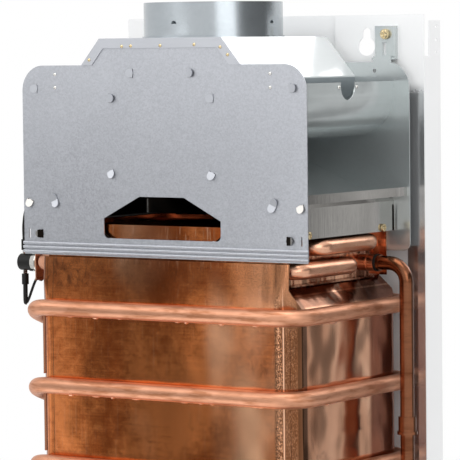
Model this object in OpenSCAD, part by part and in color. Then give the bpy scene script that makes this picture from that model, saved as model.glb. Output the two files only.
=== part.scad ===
// Tankless gas water heater, wall hung, shown with its front casing lifted off.
// X runs to the right, Y to the wall and Z up. The origin lies midway between the two
// keyhole entry holes, on the rear face of the back panel.

/* [Back panel] */
// Width of the back panel
panel_w = 286; // [278:1:320]
// Height of the back panel
panel_h = 580; // [570:1:640]
// Height of the panel's top edge above the keyhole centres
panel_top = 25; // [20:0.5:40]
// Sheet thickness of the back panel
panel_t = 0.8; // [0.6:0.1:1.2]
// Depth of the side returns, which stand the panel off the wall
panel_return = 25; // [20:0.5:40]
// Distance between the two keyholes
keyhole_spacing = 181; // [150:1:190]
// Diameter of a keyhole's entry hole
keyhole_d = 15; // [12:0.5:18]
// Width of a keyhole's hanging slot
keyhole_slot = 7; // [5:0.5:9]
// Height of the hanging slot's round end above the entry hole
keyhole_rise = 11; // [9:0.5:13]
// Depth of the pressed pocket behind the coil
pocket_depth = 13.4; // [13:0.1:20]
// Depth of the shallow pressing behind the flue
pressing_depth = 3; // [2:0.5:6]

/* [Draught diverter] */
// Width of the front and rear plates
plate_w = 267; // [262:1:270]
// Radius of the plates' top corners
plate_r = 20; // [8:1:24]
// Height of the plates' shoulders above the keyhole centres
shoulder_z = -12.4; // [-14:0.2:-11]
// Height of the front plate from its shoulder to the lower edge of its rail
plate_h = 149.6; // [148:0.2:152]
// Sheet thickness of the plates and the roof
sheet_t = 0.8; // [0.6:0.1:1]
// Distance from the front plate's front face to the rear plate's front face
diverter_depth = 151; // [150:0.5:160]
// Distance from the rear plate's front face to the panel's rear face
diverter_gap = 8.5; // [7:0.5:10]
// Height of the roof above the shoulders
roof_rise = 20.7; // [19:0.1:24]
// Width of the roof's flat top
roof_top_w = 114.4; // [112:0.2:120]
// Width of the roof at its eaves
eave_w = 167.2; // [160:0.2:176]
// Drop from the roof's top to its eaves
eave_drop = 31.3; // [28:0.1:34]
// Outer diameter of the flue collar
flue_d = 110; // [100:1:110]
// Height of the flue collar above the roof
flue_rise = 27.7; // [24:0.1:60]
// Wall of the flue collar
flue_t = 0.8; // [0.6:0.1:1.2]
// Distance from the front plate to the flue axis
flue_back = 74.6; // [70:0.2:80]
// Number of beads on the front plate's rail
rail_beads = 3; // [2:1:3]

/* [Heat exchanger] */
// Outer diameter of the exchanger tubes and the coil
tube_d = 13; // [12:0.2:13]
// Wall of the copper tubes
tube_wall = 0.8; // [0.6:0.1:1.2]
// Width of the exchanger's front and rear walls
jacket_w = 225; // [218:1:228]
// Height of the exchanger block
jacket_h = 44; // [42:1:46]
// Number of fins in the exchanger
fin_count = 34; // [12:1:40]
// Thickness of a fin
fin_t = 0.5; // [0.3:0.1:0.8]
// Outer diameter of the hot water pipe
hot_d = 11; // [10:0.2:12]

/* [Combustion chamber] */
// Width of the copper shell
shell_w = 241; // [236:1:242]
// Height of the copper shell
shell_h = 171; // [168:1:190]
// Sheet thickness of the copper shell
shell_t = 1; // [0.6:0.1:1.4]
// Radius of the shell's upright corners
shell_r = 15; // [10:0.5:18]
// Height of one coil turn to the next
coil_pitch = 61.8; // [56:0.2:62]
// Number of burner bars
bar_count = 11; // [7:1:12]

/* [Controls] */
// Diameter of the two knobs
knob_d = 38; // [30:1:44]
// Stroke of the diaphragm push rod
rod_stroke = 4; // [2:0.5:4.5]
// Radial clearance of a turning or sliding shaft
shaft_gap = 0.05; // [0.03:0.01:0.08]
// Outer diameter of the water and gas connections
thread_d = 20.9; // [18:0.1:26]
// Diameter of a battery cell
cell_d = 26; // [20:1:27]

/* [Hidden] */

$fn = 48;
seat_gap = 0.2;
galvanised = "LightSteelBlue";
copper = "Peru";
steel = "Silver";
brass = "Goldenrod";
black = "DimGray";

// Planes of the diverter
rear_y = -diverter_gap;
front_y = rear_y - diverter_depth;
plate_back_y = front_y + sheet_t;
roof_z = shoulder_z + roof_rise;
rail_bottom_z = shoulder_z - plate_h;
rail_h = 11.4;
flue_y = front_y + flue_back;
flue_top_z = roof_z + flue_rise;
panel_face_y = -panel_t;
panel_bottom_z = panel_top - panel_h;

// Deflector sheets inside the diverter
baffle_t = 0.7;
gutter_r = 34;
gutter_x = plate_w/2 - 14;
gutter_floor_z = shoulder_z - 58.4;
gutter_inner_x = 38;
gutter_top_z = shoulder_z - 15;
gable_slope = 23.5;
gable_apex_z = shoulder_z - 61.6;
gable_half_w = plate_w/2 - 27.5;
deflector_slope = 40.2;
deflector_apex_z = roof_z - 4.7;
deflector_half_w = 60;
lug_w = 6.4;
lug_l = 5.8;
lug_lift = 16;
slot_gap = 0.25;

// Flue collector, a steel frame that hangs between the two plates
collector_t = 0.7;
collector_gap = 7;
collector_x = jacket_w/2 + collector_gap;
collector_lip_x = plate_w/2 - 2.5;
collector_lip_z = shoulder_z - 98.6;
collector_lip_h = 7;
collector_flange_rise = 4;
collector_top_z = collector_lip_z - collector_lip_h - collector_flange_rise;
jacket_top_z = collector_top_z - 15;
jacket_bottom_z = jacket_top_z - jacket_h;

// Heat exchanger
jacket_t = 1;
tube_r = tube_d/2;
tube_bore_r = tube_r - tube_wall;
tube_sheet_x = jacket_w/2 - 7.5;
tube_end_x = tube_sheet_x + 1;
jacket_front_y = front_y + 4;
jacket_rear_y = rear_y - collector_t;
upper_row_z = jacket_top_z - 16;
lower_row_z = upper_row_z - 16.5;
tube_front_y = jacket_front_y + 9.5;
row_shift = 30;
bend_span = 80;
outlet_y = tube_front_y + row_shift + bend_span;
tube_places = [
  [tube_front_y, lower_row_z], [tube_front_y + bend_span, lower_row_z],
  [tube_front_y + row_shift, upper_row_z], [outlet_y, upper_row_z], [outlet_y, lower_row_z]
];
bend_r = 9;
tight_bend_r = 7.5;
bend_leg = 0.2;
bend_gap = 0.5;
collector_bottom_z = upper_row_z + tube_r + 1;

// Copper shell, which widens below the exchanger
shell_top_z = jacket_bottom_z;
shell_full_z = shell_top_z - 18;
shell_bottom_z = shell_top_z - shell_h;
shell_front_y = jacket_front_y - 6.2;
shell_rear_y = jacket_rear_y + 7;
shell_mid_y = (shell_front_y + shell_rear_y)/2;
shell_d = shell_rear_y - shell_front_y;

// Coil, wound round the shell from the bottom to the exchanger
coil_off = tube_r + seat_gap;
coil_x = shell_w/2 + coil_off;
coil_front_y = shell_front_y - coil_off;
coil_rear_y = shell_rear_y + coil_off;
coil_corner_r = shell_r + coil_off;
coil_end_x = max(coil_x, tube_end_x + bend_leg + tight_bend_r + 2*tube_r + bend_gap);
coil_top_turn_z = shell_full_z - 4.4;
coil_turns = 3;
coil_zs = [for (i = [coil_turns - 1:-1:0]) coil_top_turn_z - i*coil_pitch];
coil_climb = coil_pitch/(coil_rear_y - coil_front_y);
coil_easing_r = 40;
coil_foot_z = shell_bottom_z - 38;
feed_y = -60;
feed_bend_r = 15;
feed_socket_l = 10;
feed_socket_t = 0.9;

// Lower assembly
frame_t = 1.2;
frame_top_z = shell_bottom_z;
frame_h = 42;
frame_x = shell_w/2 - 12;
frame_front_y = shell_front_y + 12;
frame_rear_y = shell_rear_y - 12;
bar_w = 9;
bar_h = 26;
bar_bottom_z = frame_top_z - frame_h + 3;
bar_pitch = 2*(frame_x - frame_t - 6)/bar_count;
bar_length = frame_rear_y - frame_front_y - 2*frame_t;
manifold_r = 8;
manifold_y = frame_front_y - 16;
manifold_z = bar_bottom_z + 9;
manifold_half = frame_x - 4;
injector_r = 3.5;
electrode_xs = [-32, -20, 24];
electrode_z = frame_top_z - 8;
ceramic_r = 3.5;
rod_r = 1;

bracket_z = -512;
bracket_t = 1.5;
bracket_front_y = -130;
bracket_end = 32;
bracket_h = 22;
thread_r = thread_d/2;
thread_l = 22;
thread_bore_r = thread_r - 3.4;
hex_r = thread_r + 5.5;
hex_h = 8;
fitting_bottom_z = bracket_z - hex_h - thread_l;

gas_x = 5;
gas_y = -85;
gas_z = -452;
gas_half_w = 48;
gas_half_d = 30;
gas_half_h = 26;
chamber_r = 17;
chamber_left_x = gas_x - 24;
seat_x = gas_x + 8;
seat_t = 3;
seat_r = 11;
plunger_r = 14;
plunger_stem_r = 4;
cover_t = 12;
gas_pipe_r = 7;
gas_pipe_bend = 12;
gas_pipe_x = gas_x + 20;
gas_pipe_y = gas_y - 12;

water_x = -78;
water_r = 35;
diaphragm_t = 2;
body_t = 26;
cover_depth = 16;
cavity_r = 25;
cavity_d = 11;
push_rod_r = 3;
push_plate_r = 20;
neck_r = 12;
neck_end_x = gas_x - gas_half_w;
diaphragm_x = water_x - diaphragm_t;
cover_left_x = diaphragm_x - cover_depth;
cold_x = water_x + body_t/2;
feed_z = gas_z + 8;
feed_port_x = cover_left_x - 8;

ferrule_r = 6.6;
ferrule_l = 13;
seal_l = 2;
ferrule_end_x = tube_end_x + ferrule_l;
hot_start_x = ferrule_end_x + seal_l;
hot_r = hot_d/2;
hot_bend_r = 15;
hot_clear = 25.5;
hot_bead_l = 2;
hot_x = max(shell_w/2 + hot_clear, hot_start_x + hot_bead_l + hot_bend_r);
hot_joint_z = coil_top_turn_z - 92;
hot_cross_z = -455;
hot_fit_x = 105;

box_x0 = -panel_w/2 - 5;
box_x1 = cover_left_x - 13;
box_y0 = -152;
box_y1 = -72;
box_top_z = -436;
box_t = 2;
tray_gap = 0.5;
tray_travel = 65;
cell_gap = 0.3;
cell_l = 50;

spindle_r = 4;
knob_front_y = -206;
knob_h = 20;
boss_r = 9;
flow_z = gas_z;
power_x = gas_x;
button_r = 6;
button_travel = 3;
button_guide_l = 8;
button_z = box_top_z - 9;
button_x = (box_x0 + box_x1)/2;

// Overheat thermostat, clamped to the coil's last run beside the exchanger
stat_y = tube_front_y + 9;
stat_z = lower_row_z - 1;
stat_x = -coil_end_x - tube_r;
stat_plate_t = 0.8;
stat_cup_l = 6.6;
stat_body_l = 12.7;
stat_body_r = 6.7;
stat_ear_z = 11.2;
lead_r = 1.1;
sleeve_w = 5.6;
sleeve_l = 8.6;
terminal_x = stat_x - stat_plate_t - stat_cup_l - stat_body_l + 3;
sleeve_near_z = 9.6;
lead_edge_x = 4 - panel_w/2;
lead_panel_y = panel_face_y - 2.6;
lead_box_z = box_top_z - 12;
lead_up_start = [terminal_x, stat_y, stat_z + sleeve_near_z + sleeve_l];
lead_up_route = [
  lead_up_start, lead_up_start + [0, 0, 12], lead_up_start + [2, 1, 24], lead_up_start + [7, 6, 36],
  [lead_edge_x, stat_y + 20, -107], [lead_edge_x, -100, -104], [lead_edge_x, -50, -103],
  [lead_edge_x, -18, -106], [lead_edge_x, lead_panel_y - 3, -116], [lead_edge_x, lead_panel_y, -130],
  [lead_edge_x, lead_panel_y, -250], [lead_edge_x, lead_panel_y, -380],
  [lead_edge_x, lead_panel_y, lead_box_z + 18], [lead_edge_x, lead_panel_y - 5, lead_box_z + 5],
  [lead_edge_x, lead_panel_y - 18, lead_box_z], [lead_edge_x, box_y1, lead_box_z]
];
lead_low_start = [terminal_x, stat_y, stat_z - sleeve_near_z - sleeve_l];
lead_low_route = [
  lead_low_start, lead_low_start + [0, 0, -9], lead_low_start + [1.5, 1, -15],
  lead_low_start + [5, 3, -13], lead_low_start + [8, 6, -4], lead_low_start + [10, 12, 8],
  [lead_edge_x - 3.5, -95, -186], [lead_edge_x - 3.5, -45, -187], [lead_edge_x - 2, -16, -192],
  [lead_edge_x + 4, lead_panel_y - 3, -202], [lead_edge_x + 4, lead_panel_y, -216],
  [lead_edge_x + 4, lead_panel_y, -300], [lead_edge_x + 4, lead_panel_y, -390],
  [lead_edge_x + 4, lead_panel_y, lead_box_z + 18], [lead_edge_x + 4, lead_panel_y - 5, lead_box_z + 5],
  [lead_edge_x + 4, lead_panel_y - 18, lead_box_z], [lead_edge_x + 4, box_y1, lead_box_z]
];

// Outline in X and Z, given a thickness in Y from its front face
module upright(y, depth) {
  translate([0, y + depth, 0]) rotate([90, 0, 0]) linear_extrude(depth) children();
}

// Outline in Y and Z, given a length in X from its left face
module crosswise(x, length) {
  translate([x, 0, 0]) rotate([90, 0, 90]) linear_extrude(length) children();
}

module rounded_rect(width, depth, radius) {
  square([width - 2*radius, depth], center = true);
  square([width, depth - 2*radius], center = true);
  for (sx = [-1, 1], sy = [-1, 1])
    translate([sx*(width/2 - radius), sy*(depth/2 - radius)]) circle(radius);
}

module block(low, high) {
  translate(low) cube(high - low);
}

module rod_x(x, y, z, length, radius) {
  translate([x, y, z]) rotate([0, 90, 0]) cylinder(h = length, r = radius);
}

// Rod along Y from its front end
module rod_y(x, y, z, length, radius) {
  translate([x, y + length, z]) rotate([90, 0, 0]) cylinder(h = length, r = radius);
}

module rod_z(x, y, z, length, radius) {
  translate([x, y, z]) cylinder(h = length, r = radius);
}

// Pipe with right-angled bends: bends[i] is the radius at the route's corner i + 1
module pipe_core(route, bends, radius) {
  last = len(route) - 1;
  for (i = [0:last - 1]) {
    way = (route[i + 1] - route[i])/norm(route[i + 1] - route[i]);
    start = route[i] + way*(i == 0 ? 0 : bends[i - 1]);
    end = route[i + 1] - way*(i == last - 1 ? 0 : bends[i]);
    translate(start) rotate([0, acos(way[2]), atan2(way[1], way[0])])
      cylinder(h = norm(end - start), r = radius);
  }
  for (i = [1:1:last - 1]) {
    way_in = (route[i] - route[i - 1])/norm(route[i] - route[i - 1]);
    way_out = (route[i + 1] - route[i])/norm(route[i + 1] - route[i]);
    axis = cross(way_in, way_out);
    centre = route[i] + (way_out - way_in)*bends[i - 1];
    multmatrix([for (k = [0:2]) [-way_out[k], way_in[k], axis[k], centre[k]]])
      rotate_extrude(angle = 90) translate([bends[i - 1], 0]) circle(radius);
  }
}

module pipe(route, bends, outer_r, inner_r) {
  difference() {
    pipe_core(route, bends, outer_r);
    pipe_core(route, bends, inner_r);
  }
}

// Thin round lead swept along a smooth curve through the points of its route
function route_point(route, t) =
  let (last = len(route) - 1, i = min(floor(t), last - 1), s = t - i,
    p0 = route[max(i - 1, 0)], p1 = route[i], p2 = route[i + 1], p3 = route[min(i + 2, last)])
  0.5*(2*p1 + (p2 - p0)*s + (2*p0 - 5*p1 + 4*p2 - p3)*s*s + (3*p1 - p0 - 3*p2 + p3)*s*s*s);
module lead(route, radius, sides = 8, steps = 3) {
  rings = (len(route) - 1)*steps;
  ways = [for (k = [0:rings]) let (t = k/steps, e = 0.02,
    d = route_point(route, min(t + e, len(route) - 1)) - route_point(route, max(t - e, 0))) d/norm(d)];
  across = [for (k = 0, a = cross(ways[0], [0, 1, 0]); k <= rings;
    k = k + 1, a = k > rings ? a : a - ways[k]*(a*ways[k])) a/norm(a)];
  points = [for (k = [0:rings], j = [0:sides - 1])
    route_point(route, k/steps)
      + radius*(across[k]*cos(j*360/sides) + cross(ways[k], across[k])*sin(j*360/sides))];
  walls = [for (k = [0:rings - 1], j = [0:sides - 1], half = [0, 1])
    let (a = k*sides + j, b = k*sides + (j + 1)%sides)
    half == 0 ? [a, b, b + sides] : [a, b + sides, a + sides]];
  caps = [for (j = [1:sides - 2], end = [0, 1])
    end == 0 ? [0, j + 1, j] : [rings*sides, rings*sides + j, rings*sides + j + 1]];
  polyhedron(points, [for (f = concat(walls, caps)) [f[2], f[1], f[0]]]);
}

// Back panel: a sheet with side returns, two pressings, keyholes and lower fixing holes
pocket_x = panel_w/2 - 7;
pocket_top_z = lower_row_z + tube_r + 5;
pocket_bottom_z = coil_zs[0] - tube_r - 5;
pressing_x = flue_d/2 + 6;
pressing_bottom_z = pocket_top_z + 12;
fixing_z = panel_bottom_z + 25;
fixing_r = 3.5;
return_top_z = -8;
return_lip = 12;
return_tab_in = 7;
return_tab_top_z = 20;
bracket_screw_x = plate_w/2 - 24.5;
bracket_screw_z = 9.6;
bracket_screw_r = 2;

module keyhole() {
  circle(d = keyhole_d);
  translate([-keyhole_slot/2, 0]) square([keyhole_slot, keyhole_rise]);
  translate([0, keyhole_rise]) circle(d = keyhole_slot);
}

module pressed(half_w, low_z, high_z, depth) {
  block([-half_w - panel_t, panel_face_y, low_z - panel_t], [half_w + panel_t, depth, high_z + panel_t]);
}

module pressed_hollow(half_w, low_z, high_z, depth) {
  block([-half_w, panel_face_y - 1, low_z], [half_w, depth - panel_t, high_z]);
}

module side_return() {
  x = panel_w/2;
  block([x - panel_t, panel_face_y, panel_bottom_z], [x, panel_return, return_top_z]);
  block([x - return_lip, panel_return - panel_t, panel_bottom_z], [x, panel_return, return_top_z]);
  block([x - panel_t, return_tab_in, return_top_z - 1], [x, panel_return, return_tab_top_z]);
}

module back_panel() color("WhiteSmoke") difference() {
  union() {
    block([-panel_w/2, panel_face_y, panel_bottom_z], [panel_w/2, 0, panel_top]);
    pressed(pocket_x, pocket_bottom_z, pocket_top_z, pocket_depth);
    pressed(pressing_x, pressing_bottom_z, panel_top - panel_t, pressing_depth);
    side_return();
    mirror([1, 0, 0]) side_return();
  }
  pressed_hollow(pocket_x, pocket_bottom_z, pocket_top_z, pocket_depth);
  pressed_hollow(pressing_x, pressing_bottom_z, panel_top + 1, pressing_depth);
  for (side = [-1, 1]) {
    upright(-panel_return, 2*panel_return) translate([side*keyhole_spacing/2, 0]) keyhole();
    rod_y(side*keyhole_spacing/2, -panel_return, fixing_z, 2*panel_return, fixing_r);
    rod_y(side*bracket_screw_x, -panel_return, bracket_screw_z, 2*panel_return, bracket_screw_r + seat_gap);
    for (z = [-5, 5, 15])
      rod_x(side*panel_w/2 - 2, panel_return - 7, z, 4, 1.2);
  }
}

// Hanger brackets, which hold the diverter's rear plate to the panel
hanger_t = 1.5;
hanger_x0 = bracket_screw_x - 10;
hanger_x1 = bracket_screw_x + 10;
hanger_foot_z = shoulder_z + 3.4;
hanger_top_z = bracket_screw_z + 6.5;
hanger_y = panel_face_y - hanger_t;

module hanger_bracket() difference() {
  union() {
    block([hanger_x0, hanger_y, hanger_foot_z], [hanger_x1, panel_face_y, hanger_top_z]);
    block([hanger_x0, rear_y + sheet_t, hanger_foot_z - hanger_t], [hanger_x1, panel_face_y, hanger_foot_z]);
    block([hanger_x1 - hanger_t, hanger_y - 3, hanger_foot_z], [hanger_x1, hanger_y, hanger_top_z]);
  }
  rod_y(bracket_screw_x, hanger_y - 1, bracket_screw_z, 4, bracket_screw_r + seat_gap);
  block([bracket_screw_x - 3, hanger_y - 1, hanger_foot_z + 2], [bracket_screw_x, panel_face_y + 1, hanger_foot_z + 12]);
}

module hanger_brackets() color(galvanised) {
  hanger_bracket();
  mirror([1, 0, 0]) hanger_bracket();
}

module bracket_screws() color(steel) for (side = [-1, 1]) {
  rod_y(side*bracket_screw_x, hanger_y - 2.4, bracket_screw_z, 2.4, 2*bracket_screw_r);
  rod_y(side*bracket_screw_x, hanger_y, bracket_screw_z, -hanger_y + 3, bracket_screw_r);
}

// Outline of the roof, drawn in from its outer face by inset
roof_slope = atan2(eave_drop, (eave_w - roof_top_w)/2);
eave_lip = 5.2;
function roof_outline(inset) =
  let (top = roof_top_w/2 - inset*tan(roof_slope/2), eave = eave_w/2 - inset,
    eave_z = roof_z - eave_drop - inset*tan(45 - roof_slope/2), low_z = roof_z - eave_drop - eave_lip)
  [[-eave, low_z], [-eave, eave_z], [-top, roof_z - inset], [top, roof_z - inset], [eave, eave_z], [eave, low_z]];

module above(z) {
  intersection() {
    children();
    translate([-plate_w, z]) square([2*plate_w, plate_w]);
  }
}

// Lugs of the inner sheets pass through slots in the front plate and are folded over it.
// Each is [x, z, tilt, folds], where a fold is 1 or -1 for the side that the lug is folded to.
collector_slope = atan2(collector_flange_rise, collector_lip_x - collector_x);
function on_slope(apex_z, slope, x) = apex_z - x*tan(slope) - baffle_t/2;
gable_lugs = [
  [48, on_slope(gable_apex_z, gable_slope, 48), -gable_slope, [-1]],
  [gable_half_w - lug_w/2, on_slope(gable_apex_z, gable_slope, gable_half_w - lug_w/2), -gable_slope, [-1, 1]]
];
deflector_lugs = [
  [26, on_slope(deflector_apex_z, deflector_slope, 26), 90, [-1]],
  [49, on_slope(deflector_apex_z, deflector_slope, 49), 90, [1]]
];
gutter_lugs = [[gutter_x - baffle_t/2, gutter_top_z - lug_w/2, 90, [-1]]];
collector_lug_x = collector_lip_x - lug_w/2 - 1;
collector_lugs = [
  [collector_lug_x, collector_top_z + (collector_lug_x - collector_x)*tan(collector_slope) + collector_t/2,
    collector_slope, [-1]],
  [collector_x - 4.2, collector_bottom_z, 90, [-1]]
];
all_lugs = concat(gable_lugs, deflector_lugs, gutter_lugs, collector_lugs);

module lug(place, thickness) {
  translate([place[0], plate_back_y, place[1]]) rotate([0, -place[2], 0]) {
    translate([-lug_w/2, -sheet_t - thickness, -thickness/2])
      cube([lug_w, sheet_t + thickness + 0.4, thickness]);
    for (fold = place[3])
      mirror([0, 0, fold < 0 ? 1 : 0]) translate([0, -sheet_t - slot_gap/4, 0])
        rotate([90 + lug_lift, 0, 0]) linear_extrude(thickness) {
          translate([-lug_w/2, 0]) square([lug_w, lug_l - lug_w/2]);
          translate([0, lug_l - lug_w/2]) circle(lug_w/2);
        }
  }
}

module lug_slot(place) {
  translate([place[0], front_y - 1, place[1]]) rotate([0, -place[2], 0])
    translate([-lug_w/2 - slot_gap, 0, -baffle_t/2 - slot_gap])
      cube([lug_w + 2*slot_gap, sheet_t + 2, baffle_t + 2*slot_gap]);
}

module on_both_sides() {
  children();
  mirror([1, 0, 0]) children();
}

// Window at the foot of the front plate, through which the exchanger shows
window_top_w = 42;
window_w = 110;
window_foot_w = 104;
window_top_drop = 102.2;
window_shoulder_drop = 119.6;
window_foot_drop = 135.2;
window_top_z = shoulder_z - window_top_drop;
window_shoulder_z = shoulder_z - window_shoulder_drop;
window_foot_z = shoulder_z - window_foot_drop;
window_r = 5;
module window(grow) {
  polygon([
    [-window_top_w/2 - grow, window_top_z + grow], [window_top_w/2 + grow, window_top_z + grow],
    [window_w/2 + grow, window_shoulder_z + grow], [window_w/2 + grow, window_foot_z + window_r],
    [window_foot_w/2 - window_r, window_foot_z - grow], [window_r - window_foot_w/2, window_foot_z - grow],
    [-window_w/2 - grow, window_foot_z + window_r], [-window_w/2 - grow, window_shoulder_z + grow]
  ]);
}

module plate_outline(low_z, foot_r) {
  mid_z = (shoulder_z + low_z)/2;
  translate([0, mid_z]) rounded_rect(plate_w, shoulder_z - low_z, plate_r);
  translate([0, mid_z/2 + low_z/2]) rounded_rect(plate_w, mid_z - low_z, foot_r);
}

rail_slot_inset = 5.5;
rail_slot_w = 1.2;
rail_slot_h = 7;
bead_r = 1.3;
bead_pitch = rail_h/(rail_beads + 0.4);
module diverter_front_plate() color(galvanised) {
  difference() {
    upright(front_y, sheet_t) difference() {
      union() {
        plate_outline(rail_bottom_z, 0.5);
        above(shoulder_z - 1) polygon(roof_outline(sheet_t));
      }
      window(0);
      for (side = [-1, 1])
        translate([side*(plate_w/2 - rail_slot_inset) - rail_slot_w/2, rail_bottom_z + rail_h + 1.5])
          square([rail_slot_w, rail_slot_h]);
    }
    on_both_sides() for (place = all_lugs) lug_slot(place);
  }
  for (i = [0:rail_beads - 1])
    crosswise(-plate_w/2 - 0.6, plate_w + 1.2) intersection() {
      translate([front_y, rail_bottom_z + bead_pitch*(i + 0.7)]) circle(bead_r);
      translate([front_y - 2*bead_r, rail_bottom_z]) square([2*bead_r + sheet_t/2, rail_h]);
    }
}

rear_plate_low_z = lower_row_z + tube_r + 1.5;
hanger_tab_w = 16;
rear_hole_x = plate_w/2 - 31.5;
module diverter_rear_plate() color(galvanised) upright(rear_y, sheet_t) difference() {
  union() {
    plate_outline(rear_plate_low_z, 6);
    for (side = [-1, 1])
      translate([side*bracket_screw_x - hanger_tab_w/2, shoulder_z - 2])
        square([hanger_tab_w, hanger_foot_z - shoulder_z + 3]);
  }
  for (side = [-1, 1])
    translate([side*rear_hole_x, shoulder_z - 6.9]) circle(1.6);
}

// Roof: a folded sheet with a rim over the front plate, a rear gable and four hanging tabs
rim_w = 7.7;
collar_neck_r = flue_d/2 - flue_t/2;
collar_bead = 1.2;
hang_r = 12;
module diverter_roof() color(galvanised) difference() {
  union() {
    upright(front_y, rear_y - front_y) difference() {
      polygon(roof_outline(0));
      polygon(concat([[-eave_w, roof_z - eave_drop - 2*eave_lip]], roof_outline(sheet_t),
        [[eave_w, roof_z - eave_drop - 2*eave_lip]]));
    }
    upright(front_y - sheet_t, sheet_t) above(shoulder_z) difference() {
      polygon(roof_outline(0));
      polygon(roof_outline(rim_w));
    }
    upright(rear_y - sheet_t, sheet_t) above(shoulder_z - 10) polygon(roof_outline(sheet_t/2));
    for (side = [-1, 1], y = [plate_back_y + hang_r + 1, rear_y - hang_r + 1 - sheet_t])
      crosswise(side*(eave_w/2 - sheet_t/2) - sheet_t/2, sheet_t) intersection() {
        translate([y - 1, roof_z - eave_drop - eave_lip + 0.5]) circle(hang_r);
        translate([y - 2*hang_r, roof_z - eave_drop - eave_lip - 2*hang_r]) square([4*hang_r, 2*hang_r + 0.6]);
      }
  }
  rod_z(0, flue_y, roof_z - 2*sheet_t, 3*sheet_t, collar_neck_r + seat_gap/4);
  block([-plate_w, front_y - 2*sheet_t, roof_z - plate_w], [plate_w, plate_back_y, shoulder_z]);
}

// Flue collar: a bead rests on the roof, a rolled foot grips it from below, four pressed stops meet the flue pipe
stop_r = 3.2;
stop_z = flue_top_z - 17;
module flue_stop() {
  difference() {
    sphere(stop_r);
    sphere(stop_r - flue_t);
    translate([-stop_r, -stop_r, -2*stop_r]) cube(2*stop_r);
    translate([flue_t/2, -stop_r, -stop_r]) cube(2*stop_r);
  }
}
module flue_collar() color(galvanised) {
  difference() {
    union() {
      rod_z(0, flue_y, roof_z, flue_rise, flue_d/2);
      rod_z(0, flue_y, roof_z, collar_bead, flue_d/2 + collar_bead);
      rod_z(0, flue_y, roof_z - 2*sheet_t, 2*sheet_t, collar_neck_r);
      rod_z(0, flue_y, roof_z - 2*sheet_t, sheet_t, collar_neck_r + 2);
    }
    rod_z(0, flue_y, roof_z - 3*sheet_t, flue_rise + 4*sheet_t, flue_d/2 - flue_t);
    for (turn = [0:90:270])
      translate([0, flue_y, stop_z]) rotate(turn) intersection() {
        rod_x(flue_d/2 - 2*flue_t, 0, 0, 4*flue_t, stop_r - flue_t);
        translate([0, -stop_r, 0]) cube([flue_d, 2*stop_r, stop_r]);
      }
  }
  for (turn = [0:90:270])
    translate([0, flue_y, stop_z]) rotate(turn) translate([flue_d/2 - flue_t, 0, 0]) flue_stop();
}

// A folded sheet that leans down to both sides of its apex
module gable(apex_z, half_w, slope, end_y) {
  drop = half_w*tan(slope);
  upright(plate_back_y, end_y - plate_back_y)
    polygon([
      [0, apex_z], [half_w, apex_z - drop], [half_w, apex_z - drop - baffle_t/cos(slope)],
      [0, apex_z - baffle_t/cos(slope)], [-half_w, apex_z - drop - baffle_t/cos(slope)], [-half_w, apex_z - drop]
    ]);
}

module flue_deflector() color(galvanised) {
  gable(deflector_apex_z, deflector_half_w, deflector_slope, rear_y - sheet_t);
  on_both_sides() for (place = deflector_lugs) lug(place, baffle_t);
}

module gable_deflector() color(galvanised) {
  gable(gable_apex_z, gable_half_w, gable_slope, rear_y);
  on_both_sides() for (place = gable_lugs) lug(place, baffle_t);
}

// Half-round gutter that turns a downdraught out at the side
module side_gutter() {
  upright(plate_back_y, rear_y - plate_back_y) {
    translate([gutter_inner_x, gutter_floor_z]) square([gutter_x - gutter_r - gutter_inner_x, baffle_t]);
    translate([gutter_x - baffle_t, gutter_floor_z + gutter_r]) square([baffle_t, gutter_top_z - gutter_floor_z - gutter_r]);
    translate([gutter_x - gutter_r, gutter_floor_z + gutter_r]) intersection() {
      difference() {
        circle(gutter_r);
        circle(gutter_r - baffle_t);
      }
      translate([0, -gutter_r]) square(gutter_r);
    }
  }
  for (place = gutter_lugs) lug(place, baffle_t);
}

module side_gutter_right() color(galvanised) side_gutter();
module side_gutter_left() color(galvanised) mirror([1, 0, 0]) side_gutter();

// Steel flue collector on the exchanger: side walls with a shelf and an outward lip
collector_screw_ys = [front_y + 22, rear_y - 19];
collector_screw_z = collector_bottom_z + 3;
collector_screw_r = 1.5;
collector_slot_w = 3;
collector_skirt = 4;
module collector_side() {
  difference() {
    upright(plate_back_y, rear_y - plate_back_y) {
      translate([collector_x - collector_t, collector_bottom_z]) square([collector_t, collector_top_z - collector_bottom_z]);
      translate([tube_sheet_x - jacket_t, jacket_top_z]) square([collector_x - tube_sheet_x + jacket_t - collector_t/2, collector_t]);
      polygon([
        [collector_x - collector_t, collector_top_z], [collector_x, collector_top_z],
        [collector_lip_x, collector_top_z + collector_flange_rise],
        [collector_lip_x, collector_lip_z], [collector_lip_x - collector_t, collector_lip_z],
        [collector_lip_x - collector_t, collector_top_z + collector_flange_rise + collector_t],
        [collector_x - collector_t, collector_top_z + collector_t]
      ]);
    }
    for (y = collector_screw_ys)
      rod_x(collector_x - 2, y, collector_screw_z, 4, collector_screw_r + seat_gap);
    block([collector_x - 2, rear_y - collector_t - collector_slot_w, jacket_top_z - jacket_h],
      [collector_x + 1, rear_y - collector_t, collector_top_z - collector_slot_w]);
  }
  for (place = collector_lugs) lug(place, collector_t);
}

module flue_collector() color(steel) {
  on_both_sides() collector_side();
  upright(plate_back_y, collector_t) difference() {
    translate([-collector_x, collector_bottom_z - collector_skirt])
      square([2*collector_x, collector_top_z - collector_bottom_z + collector_skirt]);
    window(1.5);
  }
  block([-collector_x, rear_y - collector_t, collector_bottom_z], [collector_x, rear_y, collector_top_z]);
}

module collector_screws() color(steel) on_both_sides() for (y = collector_screw_ys) {
  rod_x(collector_x, y, collector_screw_z, 2, 2*collector_screw_r);
  rod_x(collector_x - collector_t - 2, y, collector_screw_z, collector_t + 2, collector_screw_r);
}

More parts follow.
